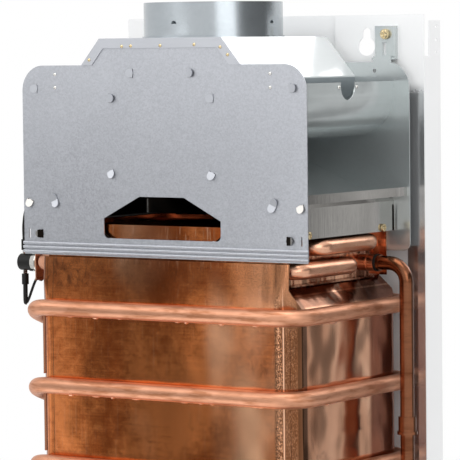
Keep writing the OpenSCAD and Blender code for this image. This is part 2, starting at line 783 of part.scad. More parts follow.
// Copper exchanger block: front and rear walls with a tube sheet set in at each end
module exchanger_jacket() color(copper) difference() {
  union() {
    block([-jacket_w/2, jacket_front_y, jacket_bottom_z], [jacket_w/2, jacket_front_y + jacket_t, jacket_top_z]);
    block([-jacket_w/2, jacket_rear_y - jacket_t, jacket_bottom_z], [jacket_w/2, jacket_rear_y, jacket_top_z]);
    for (side = [-1, 1])
      translate([side*(tube_sheet_x - jacket_t/2) - jacket_t/2, jacket_front_y, jacket_bottom_z])
        cube([jacket_t, jacket_rear_y - jacket_front_y, jacket_h]);
  }
  for (place = tube_places)
    rod_x(-jacket_w, place[0], place[1], 2*jacket_w, tube_r + shaft_gap);
}

fin_half_w = tube_sheet_x - jacket_t - 4;
fin_rim = 3;
module fin_pack() color(copper) for (i = [0:fin_count - 1])
  crosswise(-fin_half_w + i*(2*fin_half_w - fin_t)/(fin_count - 1), fin_t) difference() {
    translate([jacket_front_y + jacket_t, jacket_bottom_z + fin_rim])
      square([jacket_rear_y - jacket_front_y - 2*jacket_t, jacket_h - 2*fin_rim]);
    for (place = tube_places)
      translate(place) circle(tube_r + shaft_gap);
  }

module exchanger_tubes() color(copper) for (place = tube_places)
  pipe([[-tube_end_x, place[0], place[1]], [tube_end_x, place[0], place[1]]], [], tube_r, tube_bore_r);

module right_bend(y, z) {
  out_x = tube_end_x + bend_r + 1;
  pipe([[tube_end_x, y, z], [out_x, y, z], [out_x, y + bend_span, z], [tube_end_x, y + bend_span, z]],
    [bend_r, bend_r], tube_r, tube_bore_r);
}

module return_bends_right() color(copper) {
  right_bend(tube_front_y + row_shift, upper_row_z);
  right_bend(tube_front_y, lower_row_z);
}

module return_bends_left() color(copper) {
  out_x = -tube_end_x - tight_bend_r - bend_leg;
  pipe([[-tube_end_x, outlet_y, upper_row_z], [out_x, outlet_y, upper_row_z],
    [out_x, outlet_y, lower_row_z], [-tube_end_x, outlet_y, lower_row_z]],
    [tight_bend_r, tight_bend_r], tube_r, tube_bore_r);
  mid_y = tube_front_y + bend_span;
  pipe([[-tube_end_x, mid_y, lower_row_z], [out_x, mid_y, lower_row_z], [out_x, mid_y, upper_row_z],
    [out_x, tube_front_y + row_shift, upper_row_z], [-tube_end_x, tube_front_y + row_shift, upper_row_z]],
    [tight_bend_r, tight_bend_r, tight_bend_r], tube_r, tube_bore_r);
}

// Copper shell of the combustion chamber, folded out below the exchanger, with a lock seam at both front corners
shell_margin = 2;
module shell_form(inset) {
  reach = inset > 0 ? 1 : 0;
  intersection() {
    upright(shell_front_y - 1, shell_d + 2) polygon([
      [-tube_sheet_x + inset, shell_top_z + shell_margin], [tube_sheet_x - inset, shell_top_z + shell_margin],
      [tube_sheet_x - inset, shell_top_z], [shell_w/2 - inset, shell_full_z],
      [shell_w/2 - inset, shell_bottom_z - shell_margin], [-shell_w/2 + inset, shell_bottom_z - shell_margin],
      [-shell_w/2 + inset, shell_full_z], [-tube_sheet_x + inset, shell_top_z]
    ]);
    crosswise(-shell_w/2 - 1, shell_w + 2) polygon([
      [jacket_front_y + inset, shell_top_z + shell_margin], [jacket_rear_y - inset, shell_top_z + shell_margin],
      [jacket_rear_y - inset, shell_top_z], [shell_rear_y - inset, shell_full_z],
      [shell_rear_y - inset, shell_bottom_z - shell_margin],
      [shell_front_y + inset, shell_bottom_z - shell_margin],
      [shell_front_y + inset, shell_full_z], [jacket_front_y + inset, shell_top_z]
    ]);
    translate([0, shell_mid_y, shell_bottom_z - reach]) linear_extrude(shell_h + 2*reach)
      rounded_rect(shell_w - 2*inset, shell_d - 2*inset, shell_r - inset);
  }
}

seam_t = 1.2;
seam_h = 1.6;
seam_clear = tube_r + 1.5;
seam_spans = [for (i = [0:coil_turns - 1])
  [(i == 0 ? shell_bottom_z : coil_zs[i - 1] + seam_clear), coil_zs[i] - seam_clear]];
module combustion_shell() color(copper) {
  difference() {
    union() {
      shell_form(0);
      for (side = [-1, 1])
        block([side > 0 ? tube_sheet_x - 1 : -tube_sheet_x - 3, jacket_front_y + 12, shell_top_z - 1.2],
          [side > 0 ? tube_sheet_x + 3 : 1 - tube_sheet_x, jacket_rear_y - 12, shell_top_z]);
    }
    shell_form(shell_t);
  }
  on_both_sides() for (span = seam_spans)
    translate([shell_w/2 - shell_r, shell_front_y + shell_r, span[0]]) rotate(-45)
      translate([shell_r - shell_t/2, -seam_t/2, 0]) cube([seam_h + shell_t/2, seam_t, span[1] - span[0]]);
}

// Coil: one tube that runs level along the front, right and rear of the shell, and climbs to the next
// turn along the left. The last climb ends level beside the exchanger's lower front tube.
coil_last_z = coil_zs[coil_turns - 1];
coil_route = concat(
  [[-coil_x, feed_y, coil_foot_z], [-coil_x, feed_y, coil_zs[0] - (feed_y - coil_front_y)*coil_climb]],
  [for (z = coil_zs) each [[-coil_x, coil_front_y, z], [coil_x, coil_front_y, z],
    [coil_x, coil_rear_y, z], [-coil_x, coil_rear_y, z]]],
  [[-coil_end_x, coil_rear_y - (lower_row_z - coil_last_z)/coil_climb, lower_row_z],
    [-coil_end_x, tube_front_y, lower_row_z], [-tube_end_x, tube_front_y, lower_row_z]]);
coil_bends = concat([feed_bend_r], [for (i = [1:4*coil_turns]) coil_corner_r], [coil_easing_r, bend_r]);

function unit(v) = v/norm(v);

// Places and directions round the route's corner i, in steps of about 15 degrees
function corner_rings(route, bends, i) =
  let (way_in = unit(route[i] - route[i - 1]), way_out = unit(route[i + 1] - route[i]),
    turn = acos(way_in*way_out), r = bends[i - 1], start = route[i] - way_in*r*tan(turn/2),
    inward = unit(way_out - way_in*(way_in*way_out)), steps = max(2, round(turn/15)))
  [for (k = [0:steps]) let (a = turn*k/steps)
    [start + inward*r*(1 - cos(a)) + way_in*r*sin(a), way_in*cos(a) + inward*sin(a)]];
function route_rings(route, bends) =
  let (last = len(route) - 1)
  concat([[route[0], unit(route[1] - route[0])]],
    [for (i = [1:last - 1]) each corner_rings(route, bends, i)],
    [[route[last], unit(route[last] - route[last - 1])]]);

// Tube with a bore, swept along rings of [place, direction]
module swept_tube(rings, outer_r, inner_r, sides) {
  last = len(rings) - 1;
  inner = (last + 1)*sides;
  across = [for (k = 0, a = cross(rings[0][1], [0, 1, 0]); k <= last;
    k = k + 1, a = k > last ? a : a - rings[k][1]*(a*rings[k][1])) unit(a)];
  points = [for (radius = [outer_r, inner_r], k = [0:last], j = [0:sides - 1])
    rings[k][0] + radius*(across[k]*cos(j*360/sides) + cross(rings[k][1], across[k])*sin(j*360/sides))];
  walls = [for (k = [0:last - 1], j = [0:sides - 1])
    let (a = k*sides + j, b = k*sides + (j + 1)%sides)
    each [[b + sides, b, a], [a + sides, b + sides, a],
      [inner + a, inner + b, inner + b + sides], [inner + a, inner + b + sides, inner + a + sides]]];
  ends = [for (j = [0:sides - 1])
    let (a = j, b = (j + 1)%sides, c = last*sides + j, d = last*sides + (j + 1)%sides)
    each [[a, b, inner + b], [a, inner + b, inner + a], [c, inner + c, inner + d], [c, inner + d, d]]];
  polyhedron(points, concat(walls, ends));
}

coil_sides = 14;
coil_half_turn = 14;
module heating_coil() color(copper) {
  rings = route_rings(coil_route, coil_bends);
  gaps = [for (i = [0:len(rings) - 1], j = [i + coil_half_turn:1:len(rings) - 1])
    norm(rings[i][0] - rings[j][0]) - tube_d];
  echo(str("Least gap between the coil's turns: ", min(gaps), " mm"));
  swept_tube(rings, tube_r, tube_bore_r, coil_sides);
}

// Feed from the water valve, with a brazed socket for the coil's foot
module cold_feed_pipe() color(copper) {
  pipe([[feed_port_x, feed_y, feed_z], [-coil_x, feed_y, feed_z], [-coil_x, feed_y, coil_foot_z]],
    [feed_bend_r], tube_r, tube_bore_r);
  difference() {
    rod_z(-coil_x, feed_y, coil_foot_z - 2, feed_socket_l + 2, tube_r + feed_socket_t);
    rod_z(-coil_x, feed_y, coil_foot_z, feed_socket_l + 1, tube_r + shaft_gap);
    rod_z(-coil_x, feed_y, coil_foot_z - 3, 4, tube_r - tube_wall/2);
  }
}

// Hot water outlet on the right
groove_w = 0.9;
groove_d = 0.6;
module outlet_ferrule() color(copper) difference() {
  rod_x(tube_end_x, outlet_y, lower_row_z, ferrule_l, ferrule_r);
  difference() {
    rod_x(tube_end_x + (ferrule_l - groove_w)/2, outlet_y, lower_row_z, groove_w, 2*ferrule_r);
    rod_x(tube_end_x, outlet_y, lower_row_z, ferrule_l, ferrule_r - groove_d);
  }
  rod_x(tube_end_x - 1, outlet_y, lower_row_z, ferrule_l + 2, hot_r - tube_wall);
}
module outlet_seal() color(black) difference() {
  rod_x(ferrule_end_x, outlet_y, lower_row_z, seal_l, ferrule_r + 0.3);
  rod_x(ferrule_end_x - 1, outlet_y, lower_row_z, seal_l + 2, hot_r - tube_wall);
}
module hot_pipe() color(copper) {
  pipe([[hot_start_x, outlet_y, lower_row_z], [hot_x, outlet_y, lower_row_z], [hot_x, outlet_y, hot_joint_z]],
    [hot_bend_r], hot_r, hot_r - tube_wall);
  difference() {
    rod_x(hot_start_x, outlet_y, lower_row_z, hot_bead_l, ferrule_r - seat_gap);
    rod_x(hot_start_x - 1, outlet_y, lower_row_z, 5, hot_r - tube_wall/2);
  }
}
joint_r = 7;
joint_l = 14;
joint_depth = 6;
module hot_pipe_joint() color(copper) difference() {
  union() {
    rod_z(hot_x, outlet_y, hot_joint_z + joint_depth - joint_l, joint_l, joint_r);
    rod_z(hot_x, outlet_y, hot_joint_z + joint_depth - joint_l, 2.5, joint_r + 1);
  }
  rod_z(hot_x, outlet_y, hot_joint_z - 2*joint_l, 4*joint_l, hot_r + shaft_gap);
}
module hot_pipe_lower() color(copper) pipe(
  [[hot_x, outlet_y, hot_joint_z - 0.5], [hot_x, outlet_y, hot_cross_z],
    [hot_fit_x, outlet_y, hot_cross_z], [hot_fit_x, outlet_y, bracket_z + bracket_t + hex_h]],
  [hot_bend_r, hot_bend_r], hot_r, hot_r - tube_wall);

// Overheat thermostat and its leads
module thermostat_bracket() color(copper) {
  block([stat_x - stat_plate_t, stat_y - 8, stat_z - 14], [stat_x, stat_y + 8, stat_z + 14]);
  translate([-coil_end_x, 0, lower_row_z]) intersection() {
    difference() {
      rod_y(0, stat_y + 3, 0, 8, tube_r + stat_plate_t);
      rod_y(0, stat_y + 2, 0, 10, tube_r + shaft_gap);
    }
    block([-2*tube_r, stat_y, -2*tube_r], [tube_r/2, stat_y + 12, 2*tube_r]);
  }
}

stat_face_x = stat_x - stat_plate_t;
module thermostat_flange() color(steel) difference() {
  union() {
    rod_x(stat_face_x - 1, stat_y, stat_z, 1, stat_body_r + 2.5);
    block([stat_face_x - 1, stat_y - 4, stat_z - stat_ear_z], [stat_face_x, stat_y + 4, stat_z + stat_ear_z]);
    for (side = [-1, 1])
      rod_x(stat_face_x - 1, stat_y, stat_z + side*stat_ear_z, 1, 4);
    translate([stat_face_x - stat_cup_l, stat_y, stat_z]) rotate([0, 90, 0])
      cylinder(h = stat_cup_l, r1 = stat_body_r + 0.6, r2 = stat_body_r + 2);
  }
  for (side = [-1, 1])
    rod_x(stat_face_x - 3, stat_y, stat_z + side*stat_ear_z, 6, 1.5 + shaft_gap);
}
module thermostat_body() color(black) {
  rod_x(stat_face_x - stat_cup_l - stat_body_l, stat_y, stat_z, stat_body_l, stat_body_r);
  rod_x(stat_face_x - stat_cup_l - 3, stat_y, stat_z, 3, stat_body_r + 0.7);
}
module thermostat_screws() color(steel) for (side = [-1, 1]) {
  rod_x(stat_face_x - 1 - 2.2, stat_y, stat_z + side*stat_ear_z, 2.2, 2.8);
  rod_x(stat_face_x - 1, stat_y, stat_z + side*stat_ear_z, 1, 1.5);
}
module thermostat_terminals() color(steel) for (side = [-1, 1])
  translate([terminal_x - 0.4, stat_y - 2.4, stat_z + (side > 0 ? stat_body_r : -sleeve_near_z)])
    cube([0.8, 4.8, sleeve_near_z - stat_body_r]);
module terminal_sleeves() color(black) for (side = [-1, 1])
  translate([terminal_x, stat_y, stat_z + (side > 0 ? sleeve_near_z : -sleeve_near_z - sleeve_l)])
    linear_extrude(sleeve_l) rounded_rect(4.2, sleeve_w, 1.4);
module thermostat_lead_upper() color(black) lead(lead_up_route, lead_r);
module thermostat_lead_lower() color(black) lead(lead_low_route, lead_r);

// Burner: a frame that carries the shell, slotted bars, and a manifold with one injector per bar
bar_xs = [for (i = [0:bar_count - 1]) (i - (bar_count - 1)/2)*bar_pitch];
port_count = 18;
module burner_frame() color(galvanised) difference() {
  union() {
    difference() {
      block([-frame_x, frame_front_y, frame_top_z - frame_h], [frame_x, frame_rear_y, frame_top_z]);
      block([frame_t - frame_x, frame_front_y + frame_t, frame_top_z - frame_h - 1],
        [frame_x - frame_t, frame_rear_y - frame_t, frame_top_z + 1]);
    }
    difference() {
      block([-shell_w/2, shell_front_y, frame_top_z - frame_t], [shell_w/2, panel_face_y, frame_top_z]);
      block([frame_t - frame_x, frame_front_y + frame_t, frame_top_z - 2*frame_t],
        [frame_x - frame_t, frame_rear_y - frame_t, frame_top_z + 1]);
    }
  }
  for (x = bar_xs)
    rod_y(x, frame_front_y - 1, manifold_z, frame_t + 2, injector_r + 1);
  for (x = electrode_xs)
    rod_y(x, frame_front_y - 1, electrode_z, frame_t + 2, ceramic_r + seat_gap);
}

module burner_bars() color(steel) for (x = bar_xs)
  difference() {
    crosswise(x - bar_w/2, bar_w) difference() {
      translate([frame_front_y + frame_t, bar_bottom_z]) square([bar_length, bar_h]);
      for (k = [0:port_count - 1])
        translate([frame_front_y + frame_t + bar_length*(k + 0.5)/port_count - 0.8, bar_bottom_z + bar_h - 5])
          square([1.6, 6]);
    }
    rod_y(x, frame_front_y, manifold_z, 24, injector_r + 1);
  }

module gas_manifold() color(steel) difference() {
  rod_x(-manifold_half, manifold_y, manifold_z, 2*manifold_half, manifold_r);
  rod_x(2 - manifold_half, manifold_y, manifold_z, 2*manifold_half - 4, manifold_r - 1.5);
  for (x = bar_xs)
    rod_y(x, manifold_y, manifold_z, 2*manifold_r, injector_r - 1 + shaft_gap);
  rod_z(gas_pipe_x, manifold_y, manifold_z - 2*manifold_r, 2*manifold_r, gas_pipe_r - 1);
}

injector_start = manifold_r - 1.2;
injector_end = frame_front_y - manifold_y;
module gas_injectors() color(brass) for (x = bar_xs)
  difference() {
    union() {
      rod_y(x, manifold_y + injector_start, manifold_z, manifold_r - injector_start + 0.4, injector_r - 1);
      rod_y(x, manifold_y + manifold_r + 0.4, manifold_z, injector_end - manifold_r - 0.4, injector_r);
      translate([x, manifold_y + injector_end, manifold_z]) rotate([-90, 0, 0])
        cylinder(h = 4, r1 = injector_r, r2 = 1.4);
    }
    rod_y(x, manifold_y, manifold_z, 2*injector_end, 0.6);
  }

gas_top_z = gas_z + gas_half_h;
module gas_pipe() color(steel) difference() {
  union() {
    pipe([[gas_pipe_x, gas_pipe_y, gas_top_z], [gas_pipe_x, gas_pipe_y, gas_top_z + gas_pipe_bend + 2],
      [gas_pipe_x, manifold_y, gas_top_z + gas_pipe_bend + 2], [gas_pipe_x, manifold_y, manifold_z - 2]],
      [gas_pipe_bend, gas_pipe_bend], gas_pipe_r, gas_pipe_r - 1);
    rod_z(gas_pipe_x, gas_pipe_y, gas_top_z, 4, gas_pipe_r + 4);
  }
  rod_x(gas_pipe_x - 4*gas_pipe_r, manifold_y, manifold_z, 8*gas_pipe_r, manifold_r);
  rod_z(gas_pipe_x, gas_pipe_y, gas_top_z - 1, 6, gas_pipe_r - 1);
}

// Ignition and flame-sensing electrodes on one plate
electrode_plate_y = frame_front_y - frame_t;
module electrode_bracket() color(galvanised) difference() {
  block([min(electrode_xs) - 9, electrode_plate_y, electrode_z - 6], [max(electrode_xs) + 9, frame_front_y, electrode_z + 6]);
  for (x = electrode_xs)
    rod_y(x, electrode_plate_y - 1, electrode_z, frame_t + 2, ceramic_r + shaft_gap);
}
module electrode_ceramics() color("Ivory") for (x = electrode_xs)
  difference() {
    union() {
      rod_y(x, electrode_plate_y - 18, electrode_z, 30, ceramic_r);
      rod_y(x, electrode_plate_y - 6, electrode_z, 6, ceramic_r + 1.6);
    }
    rod_y(x, electrode_plate_y - 30, electrode_z, 60, rod_r + shaft_gap);
  }
module electrode_rods() color(steel) for (x = electrode_xs)
  rod_y(x, electrode_plate_y - 24, electrode_z, 50, rod_r);

// Gas valve: a cast body with a sliding plunger behind a bolted end cover
chamber_right_x = gas_x + gas_half_w;
plunger_x = seat_x + seat_t + seat_gap;
module gas_valve_body() color(steel) difference() {
  union() {
    translate([gas_x, 0, gas_z]) rotate([90, 0, 90])
      translate([gas_y, 0, -gas_half_w]) linear_extrude(2*gas_half_w)
        rounded_rect(2*gas_half_d, 2*gas_half_h, 6);
    rod_y(power_x, gas_y - gas_half_d - 16, gas_z, 18, boss_r);
    rod_z(gas_x, gas_y, bracket_z + bracket_t + hex_h, gas_z - bracket_z - bracket_t - hex_h, thread_r + 3);
    for (z = [-1, 1], y = [-1, 1])
      rod_x(gas_x + gas_half_w - 10, gas_y + y*(gas_half_d - 5), gas_z + z*(gas_half_h - 5), 10, 5.5);
  }
  rod_x(chamber_left_x, gas_y, gas_z, seat_x - chamber_left_x, chamber_r);
  rod_x(seat_x - 1, gas_y, gas_z, seat_t + 2, seat_r);
  rod_x(seat_x + seat_t, gas_y, gas_z, chamber_right_x - seat_x - seat_t + 1, chamber_r);
  rod_x(neck_end_x - 1, gas_y, gas_z, chamber_left_x - neck_end_x + 2, push_rod_r + shaft_gap);
  rod_y(power_x, gas_y - gas_half_d - 20, gas_z, 20, spindle_r + shaft_gap);
  rod_z(gas_x, gas_y, bracket_z, gas_z - bracket_z - chamber_r + 4, thread_bore_r);
  rod_z(gas_pipe_x, gas_pipe_y, gas_z, gas_half_h + 1, gas_pipe_r - 1);
}
module gas_valve_cover() color(steel) difference() {
  union() {
    translate([chamber_right_x, gas_y, gas_z]) rotate([90, 0, 90]) linear_extrude(4)
      rounded_rect(2*gas_half_d, 2*gas_half_h, 6);
    rod_x(chamber_right_x, gas_y, gas_z, cover_t, 12);
    for (z = [-1, 1], y = [-1, 1])
      rod_x(chamber_right_x + 3, gas_y + y*(gas_half_d - 6), gas_z + z*(gas_half_h - 6), 4, 4);
  }
  rod_x(chamber_right_x - 1, gas_y, gas_z, cover_t - 1, plunger_stem_r + shaft_gap);
}
plunger_end_x = chamber_right_x + cover_t - 2 - rod_stroke - 1;
module gas_plunger() color(brass) {
  rod_x(plunger_x, gas_y, gas_z, 6, plunger_r);
  rod_x(plunger_x + 6, gas_y, gas_z, 5, plunger_r - 5);
  rod_x(plunger_x + 11, gas_y, gas_z, plunger_end_x - plunger_x - 11, plunger_stem_r);
}

// Union with a male thread between two hexagons that clamp the pipe bracket
module union_fitting(x, y, top_bore_r) {
  top_z = bracket_z + bracket_t + hex_h;
  difference() {
    union() {
      rod_z(x, y, fitting_bottom_z, thread_l, thread_r);
      translate([x, y, bracket_z - hex_h]) cylinder(h = hex_h, r = hex_r, $fn = 6);
      rod_z(x, y, bracket_z, bracket_t, thread_r);
      translate([x, y, bracket_z + bracket_t]) cylinder(h = hex_h, r = hex_r, $fn = 6);
    }
    rod_z(x, y, fitting_bottom_z - 1, bracket_z - fitting_bottom_z + 1, thread_bore_r);
    rod_z(x, y, fitting_bottom_z, top_z - fitting_bottom_z + 1, top_bore_r);
  }
}
module gas_inlet_fitting() color(brass) union_fitting(gas_x, gas_y, thread_bore_r - 1);
module cold_inlet_fitting() color(brass) union_fitting(cold_x, gas_y, thread_bore_r - 1);
module hot_outlet_fitting() color(brass) union_fitting(hot_fit_x, outlet_y, hot_r - tube_wall);

// Water valve: two halves clamp a rubber diaphragm, whose plate drives the push rod
valve_screw_r = 2;
valve_screw_ring = water_r - 4.5;
valve_screw_count = 6;
valve_screw_turn = 48;
module round_screws() {
  for (k = [0:valve_screw_count - 1])
    translate([0, gas_y + valve_screw_ring*cos(360*k/valve_screw_count + valve_screw_turn),
      gas_z + valve_screw_ring*sin(360*k/valve_screw_count + valve_screw_turn)]) children();
}
module water_valve_body() color(brass) difference() {
  union() {
    rod_x(water_x, gas_y, gas_z, body_t, water_r);
    rod_x(water_x + body_t, gas_y, gas_z, neck_end_x - water_x - body_t, neck_r);
    rod_z(cold_x, gas_y, bracket_z + bracket_t + hex_h, gas_z - water_r/2 - bracket_z - bracket_t - hex_h, thread_r + 2);
    rod_y(cold_x, gas_y - water_r - 12, flow_z, 20, boss_r - 0.5);
  }
  rod_x(water_x - 1, gas_y, gas_z, cavity_d + 1, cavity_r);
  rod_x(water_x, gas_y, gas_z, neck_end_x - water_x + 1, push_rod_r + shaft_gap);
  rod_y(cold_x, gas_y - water_r - 14, flow_z, 20, spindle_r + shaft_gap);
  rod_z(cold_x, gas_y, bracket_z, gas_z - water_r + 12 - bracket_z, thread_bore_r);
  round_screws() rod_x(water_x - 1, 0, 0, body_t - 4, valve_screw_r + shaft_gap);
}
module water_valve_cover() color(brass) difference() {
  union() {
    rod_x(cover_left_x, gas_y, gas_z, cover_depth, water_r);
    rod_x(feed_port_x, feed_y, feed_z, cover_left_x - feed_port_x + 1, tube_r + 3);
  }
  rod_x(diaphragm_x - cavity_d + 2, gas_y, gas_z, cavity_d, cavity_r);
  rod_x(feed_port_x - 1, feed_y, feed_z, cover_left_x - feed_port_x + 10, tube_bore_r - 1);
  round_screws() rod_x(cover_left_x - 1, 0, 0, cover_depth + 2, valve_screw_r + shaft_gap);
}
module diaphragm() color(black) difference() {
  rod_x(diaphragm_x, gas_y, gas_z, diaphragm_t, water_r - 1);
  round_screws() rod_x(diaphragm_x - 1, 0, 0, diaphragm_t + 2, valve_screw_r + shaft_gap);
}
push_gap = 0.3;
module push_rod() color(steel) {
  rod_x(water_x + push_gap, gas_y, gas_z, 2, push_plate_r);
  rod_x(water_x + push_gap + 2, gas_y, gas_z, plunger_x - water_x - 2*push_gap - 2, push_rod_r);
}
module water_valve_screws() color(steel) round_screws() {
  rod_x(cover_left_x - 3.5, 0, 0, 3.5, 2*valve_screw_r - 0.4);
  rod_x(cover_left_x, 0, 0, cover_depth + diaphragm_t + body_t - 6, valve_screw_r);
}

// Bracket at the foot of the panel, which carries the three unions and the control box
module pipe_bracket() color(galvanised) difference() {
  union() {
    block([box_x0 + 6, bracket_front_y, bracket_z], [hot_fit_x + bracket_end, panel_face_y, bracket_z + bracket_t]);
    block([box_x0 + 6, panel_face_y - bracket_t, bracket_z],
      [hot_fit_x + bracket_end, panel_face_y, bracket_z + bracket_h]);
  }
  for (place = [[gas_x, gas_y], [cold_x, gas_y], [hot_fit_x, outlet_y]])
    rod_z(place[0], place[1], bracket_z - 1, bracket_t + 2, thread_r + seat_gap);
  block([box_x0, box_y0, bracket_z - 1], [box_x1 - box_t + tray_gap, box_y1 - box_t + tray_gap, bracket_z + bracket_t + 1]);
}

// Two knobs on turned spindles
module knob_on_spindle(x, z, spindle_end_y) {
  difference() {
    union() {
      rod_y(x, knob_front_y, z, knob_h, knob_d/2 - 2);
      rod_y(x, knob_front_y + knob_h - 5, z, 5, knob_d/2);
    }
    for (turn = [0:30:330])
      translate([x, 0, z]) rotate([0, turn, 0]) rod_y(knob_d/2 - 1, knob_front_y - 1, 0, knob_h - 4, 2);
    block([x - 0.9, knob_front_y - 1, z + 4], [x + 0.9, knob_front_y + 1.2, z + knob_d/2 - 5]);
  }
  rod_y(x, knob_front_y + knob_h, z, spindle_end_y - knob_front_y - knob_h, spindle_r);
}
module power_knob() color(black) knob_on_spindle(power_x, gas_z, gas_y - gas_half_d - 2);
module flow_knob() color(black) knob_on_spindle(cold_x, flow_z, gas_y - water_r + 4);

// Control box with its battery tray, which pulls down, and the push button on its front
box_z0 = bracket_z + bracket_t;
tray_low = [box_x0 + box_t + tray_gap, box_y0 + box_t + tray_gap, box_z0];
tray_high = [box_x1 - box_t - tray_gap, box_y1 - box_t - tray_gap, box_z0 + cell_l + 6];
module control_box() color(black) difference() {
  union() {
    translate([(box_x0 + box_x1)/2, (box_y0 + box_y1)/2, box_z0]) linear_extrude(box_top_z - box_z0)
      rounded_rect(box_x1 - box_x0, box_y1 - box_y0, 4);
    block([box_x1 - 12, box_y1 - 1, box_top_z - 30], [box_x1, panel_face_y, box_top_z - 28]);
  }
  block([tray_low[0] - tray_gap, tray_low[1] - tray_gap, box_z0 - 1],
    [tray_high[0] + tray_gap, tray_high[1] + tray_gap, tray_high[2] + tray_gap]);
  rod_y(button_x, box_y0 - 1, button_z, 12, button_r + shaft_gap);
}
module battery_tray() color("DarkSlateGray") difference() {
  union() {
    block(tray_low, tray_high);
    block(tray_low - [0, 0, bracket_t + 3], [tray_high[0], tray_high[1], box_z0 + 1]);
    rod_x((tray_low[0] + tray_high[0])/2 - 9, (tray_low[1] + tray_high[1])/2, box_z0 - bracket_t - 3, 18, 4);
  }
  for (place = cell_places)
    rod_z(place[0], place[1], box_z0 + 3, cell_l + 10, cell_d/2 + cell_gap);
}
cell_places = [for (s = [-1, 1])
  [(tray_low[0] + tray_high[0])/2, (tray_low[1] + tray_high[1])/2 + s*(cell_d/2 + 2)]];
module battery_cells() color("OliveDrab") for (place = cell_places) {
  rod_z(place[0], place[1], box_z0 + 3, cell_l, cell_d/2);
  rod_z(place[0], place[1], box_z0 + 3 + cell_l, 1.5, 3);
}
module power_button() color("WhiteSmoke") {
  rod_y(button_x, box_y0 - button_travel - 2, button_z, button_guide_l + button_travel, button_r);
}

back_panel();
hanger_brackets();
bracket_screws();
diverter_front_plate();
diverter_rear_plate();
diverter_roof();
flue_collar();
flue_deflector();
side_gutter_right();
side_gutter_left();
gable_deflector();
flue_collector();
collector_screws();
exchanger_jacket();
fin_pack();
exchanger_tubes();
return_bends_right();
return_bends_left();
combustion_shell();
heating_coil();
cold_feed_pipe();
outlet_ferrule();
outlet_seal();
hot_pipe();
hot_pipe_joint();
hot_pipe_lower();
thermostat_bracket();
thermostat_flange();
thermostat_body();
thermostat_screws();
thermostat_terminals();
terminal_sleeves();
thermostat_lead_upper();
thermostat_lead_lower();
burner_frame();
burner_bars();
gas_manifold();
gas_injectors();
gas_pipe();
electrode_bracket();
electrode_ceramics();
electrode_rods();
gas_valve_body();
gas_valve_cover();
gas_plunger();
gas_inlet_fitting();
water_valve_body();
water_valve_cover();
diaphragm();
push_rod();
water_valve_screws();
cold_inlet_fitting();
hot_outlet_fitting();
pipe_bracket();
power_knob();
flow_knob();
control_box();
battery_tray();
battery_cells();
power_button();
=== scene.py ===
import math
import random
import bmesh
import bpy
from mathutils import Matrix, Vector


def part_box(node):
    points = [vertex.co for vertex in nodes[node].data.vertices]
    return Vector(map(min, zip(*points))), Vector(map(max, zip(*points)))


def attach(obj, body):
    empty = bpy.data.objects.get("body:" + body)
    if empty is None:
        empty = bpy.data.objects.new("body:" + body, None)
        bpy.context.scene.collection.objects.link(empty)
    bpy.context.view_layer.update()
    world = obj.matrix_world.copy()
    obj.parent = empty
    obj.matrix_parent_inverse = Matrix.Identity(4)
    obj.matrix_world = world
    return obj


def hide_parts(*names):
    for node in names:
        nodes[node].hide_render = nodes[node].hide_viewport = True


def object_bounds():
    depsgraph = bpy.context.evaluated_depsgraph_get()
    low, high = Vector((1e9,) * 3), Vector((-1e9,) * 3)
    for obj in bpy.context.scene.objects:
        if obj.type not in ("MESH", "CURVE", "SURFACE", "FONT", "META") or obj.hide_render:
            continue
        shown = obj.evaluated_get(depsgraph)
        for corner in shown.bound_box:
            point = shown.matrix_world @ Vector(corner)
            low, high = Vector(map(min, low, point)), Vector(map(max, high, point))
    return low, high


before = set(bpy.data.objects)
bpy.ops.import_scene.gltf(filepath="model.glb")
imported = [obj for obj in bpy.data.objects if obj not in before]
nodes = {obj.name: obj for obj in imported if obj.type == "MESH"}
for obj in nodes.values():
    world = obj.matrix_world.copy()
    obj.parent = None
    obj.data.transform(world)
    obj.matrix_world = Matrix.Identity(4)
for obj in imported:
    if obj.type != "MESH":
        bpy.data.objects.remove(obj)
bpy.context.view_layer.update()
print("stage: frame loaded,", len(nodes), "nodes")


def addObject(name, data):
    made = bpy.data.objects.new(name, data)
    bpy.context.scene.collection.objects.link(made)
    return made


# camera at the photograph's angle
camera = {
    "place": (1.32958, -2.05366, 0.00029), "turnLeft": 33.759, "lookDown": 3.481, "roll": -0.615,
    "lens": 234.8, "sensor": 36.0, "farClip": 50.0,
}


def addCamera():
    data = bpy.data.cameras.new("photoCamera")
    data.lens = camera["lens"]
    data.sensor_width = camera["sensor"]
    data.clip_end = camera["farClip"]
    seat = addObject("photoCamera", data)
    seat.matrix_world = (
        Matrix.Translation(camera["place"])
        @ Matrix.Rotation(math.radians(camera["turnLeft"]), 4, "Z")
        @ Matrix.Rotation(math.radians(90 - camera["lookDown"]), 4, "X")
        @ Matrix.Rotation(math.radians(camera["roll"]), 4, "Z")
    )
    bpy.context.scene.camera = seat


addCamera()
print("stage: camera")


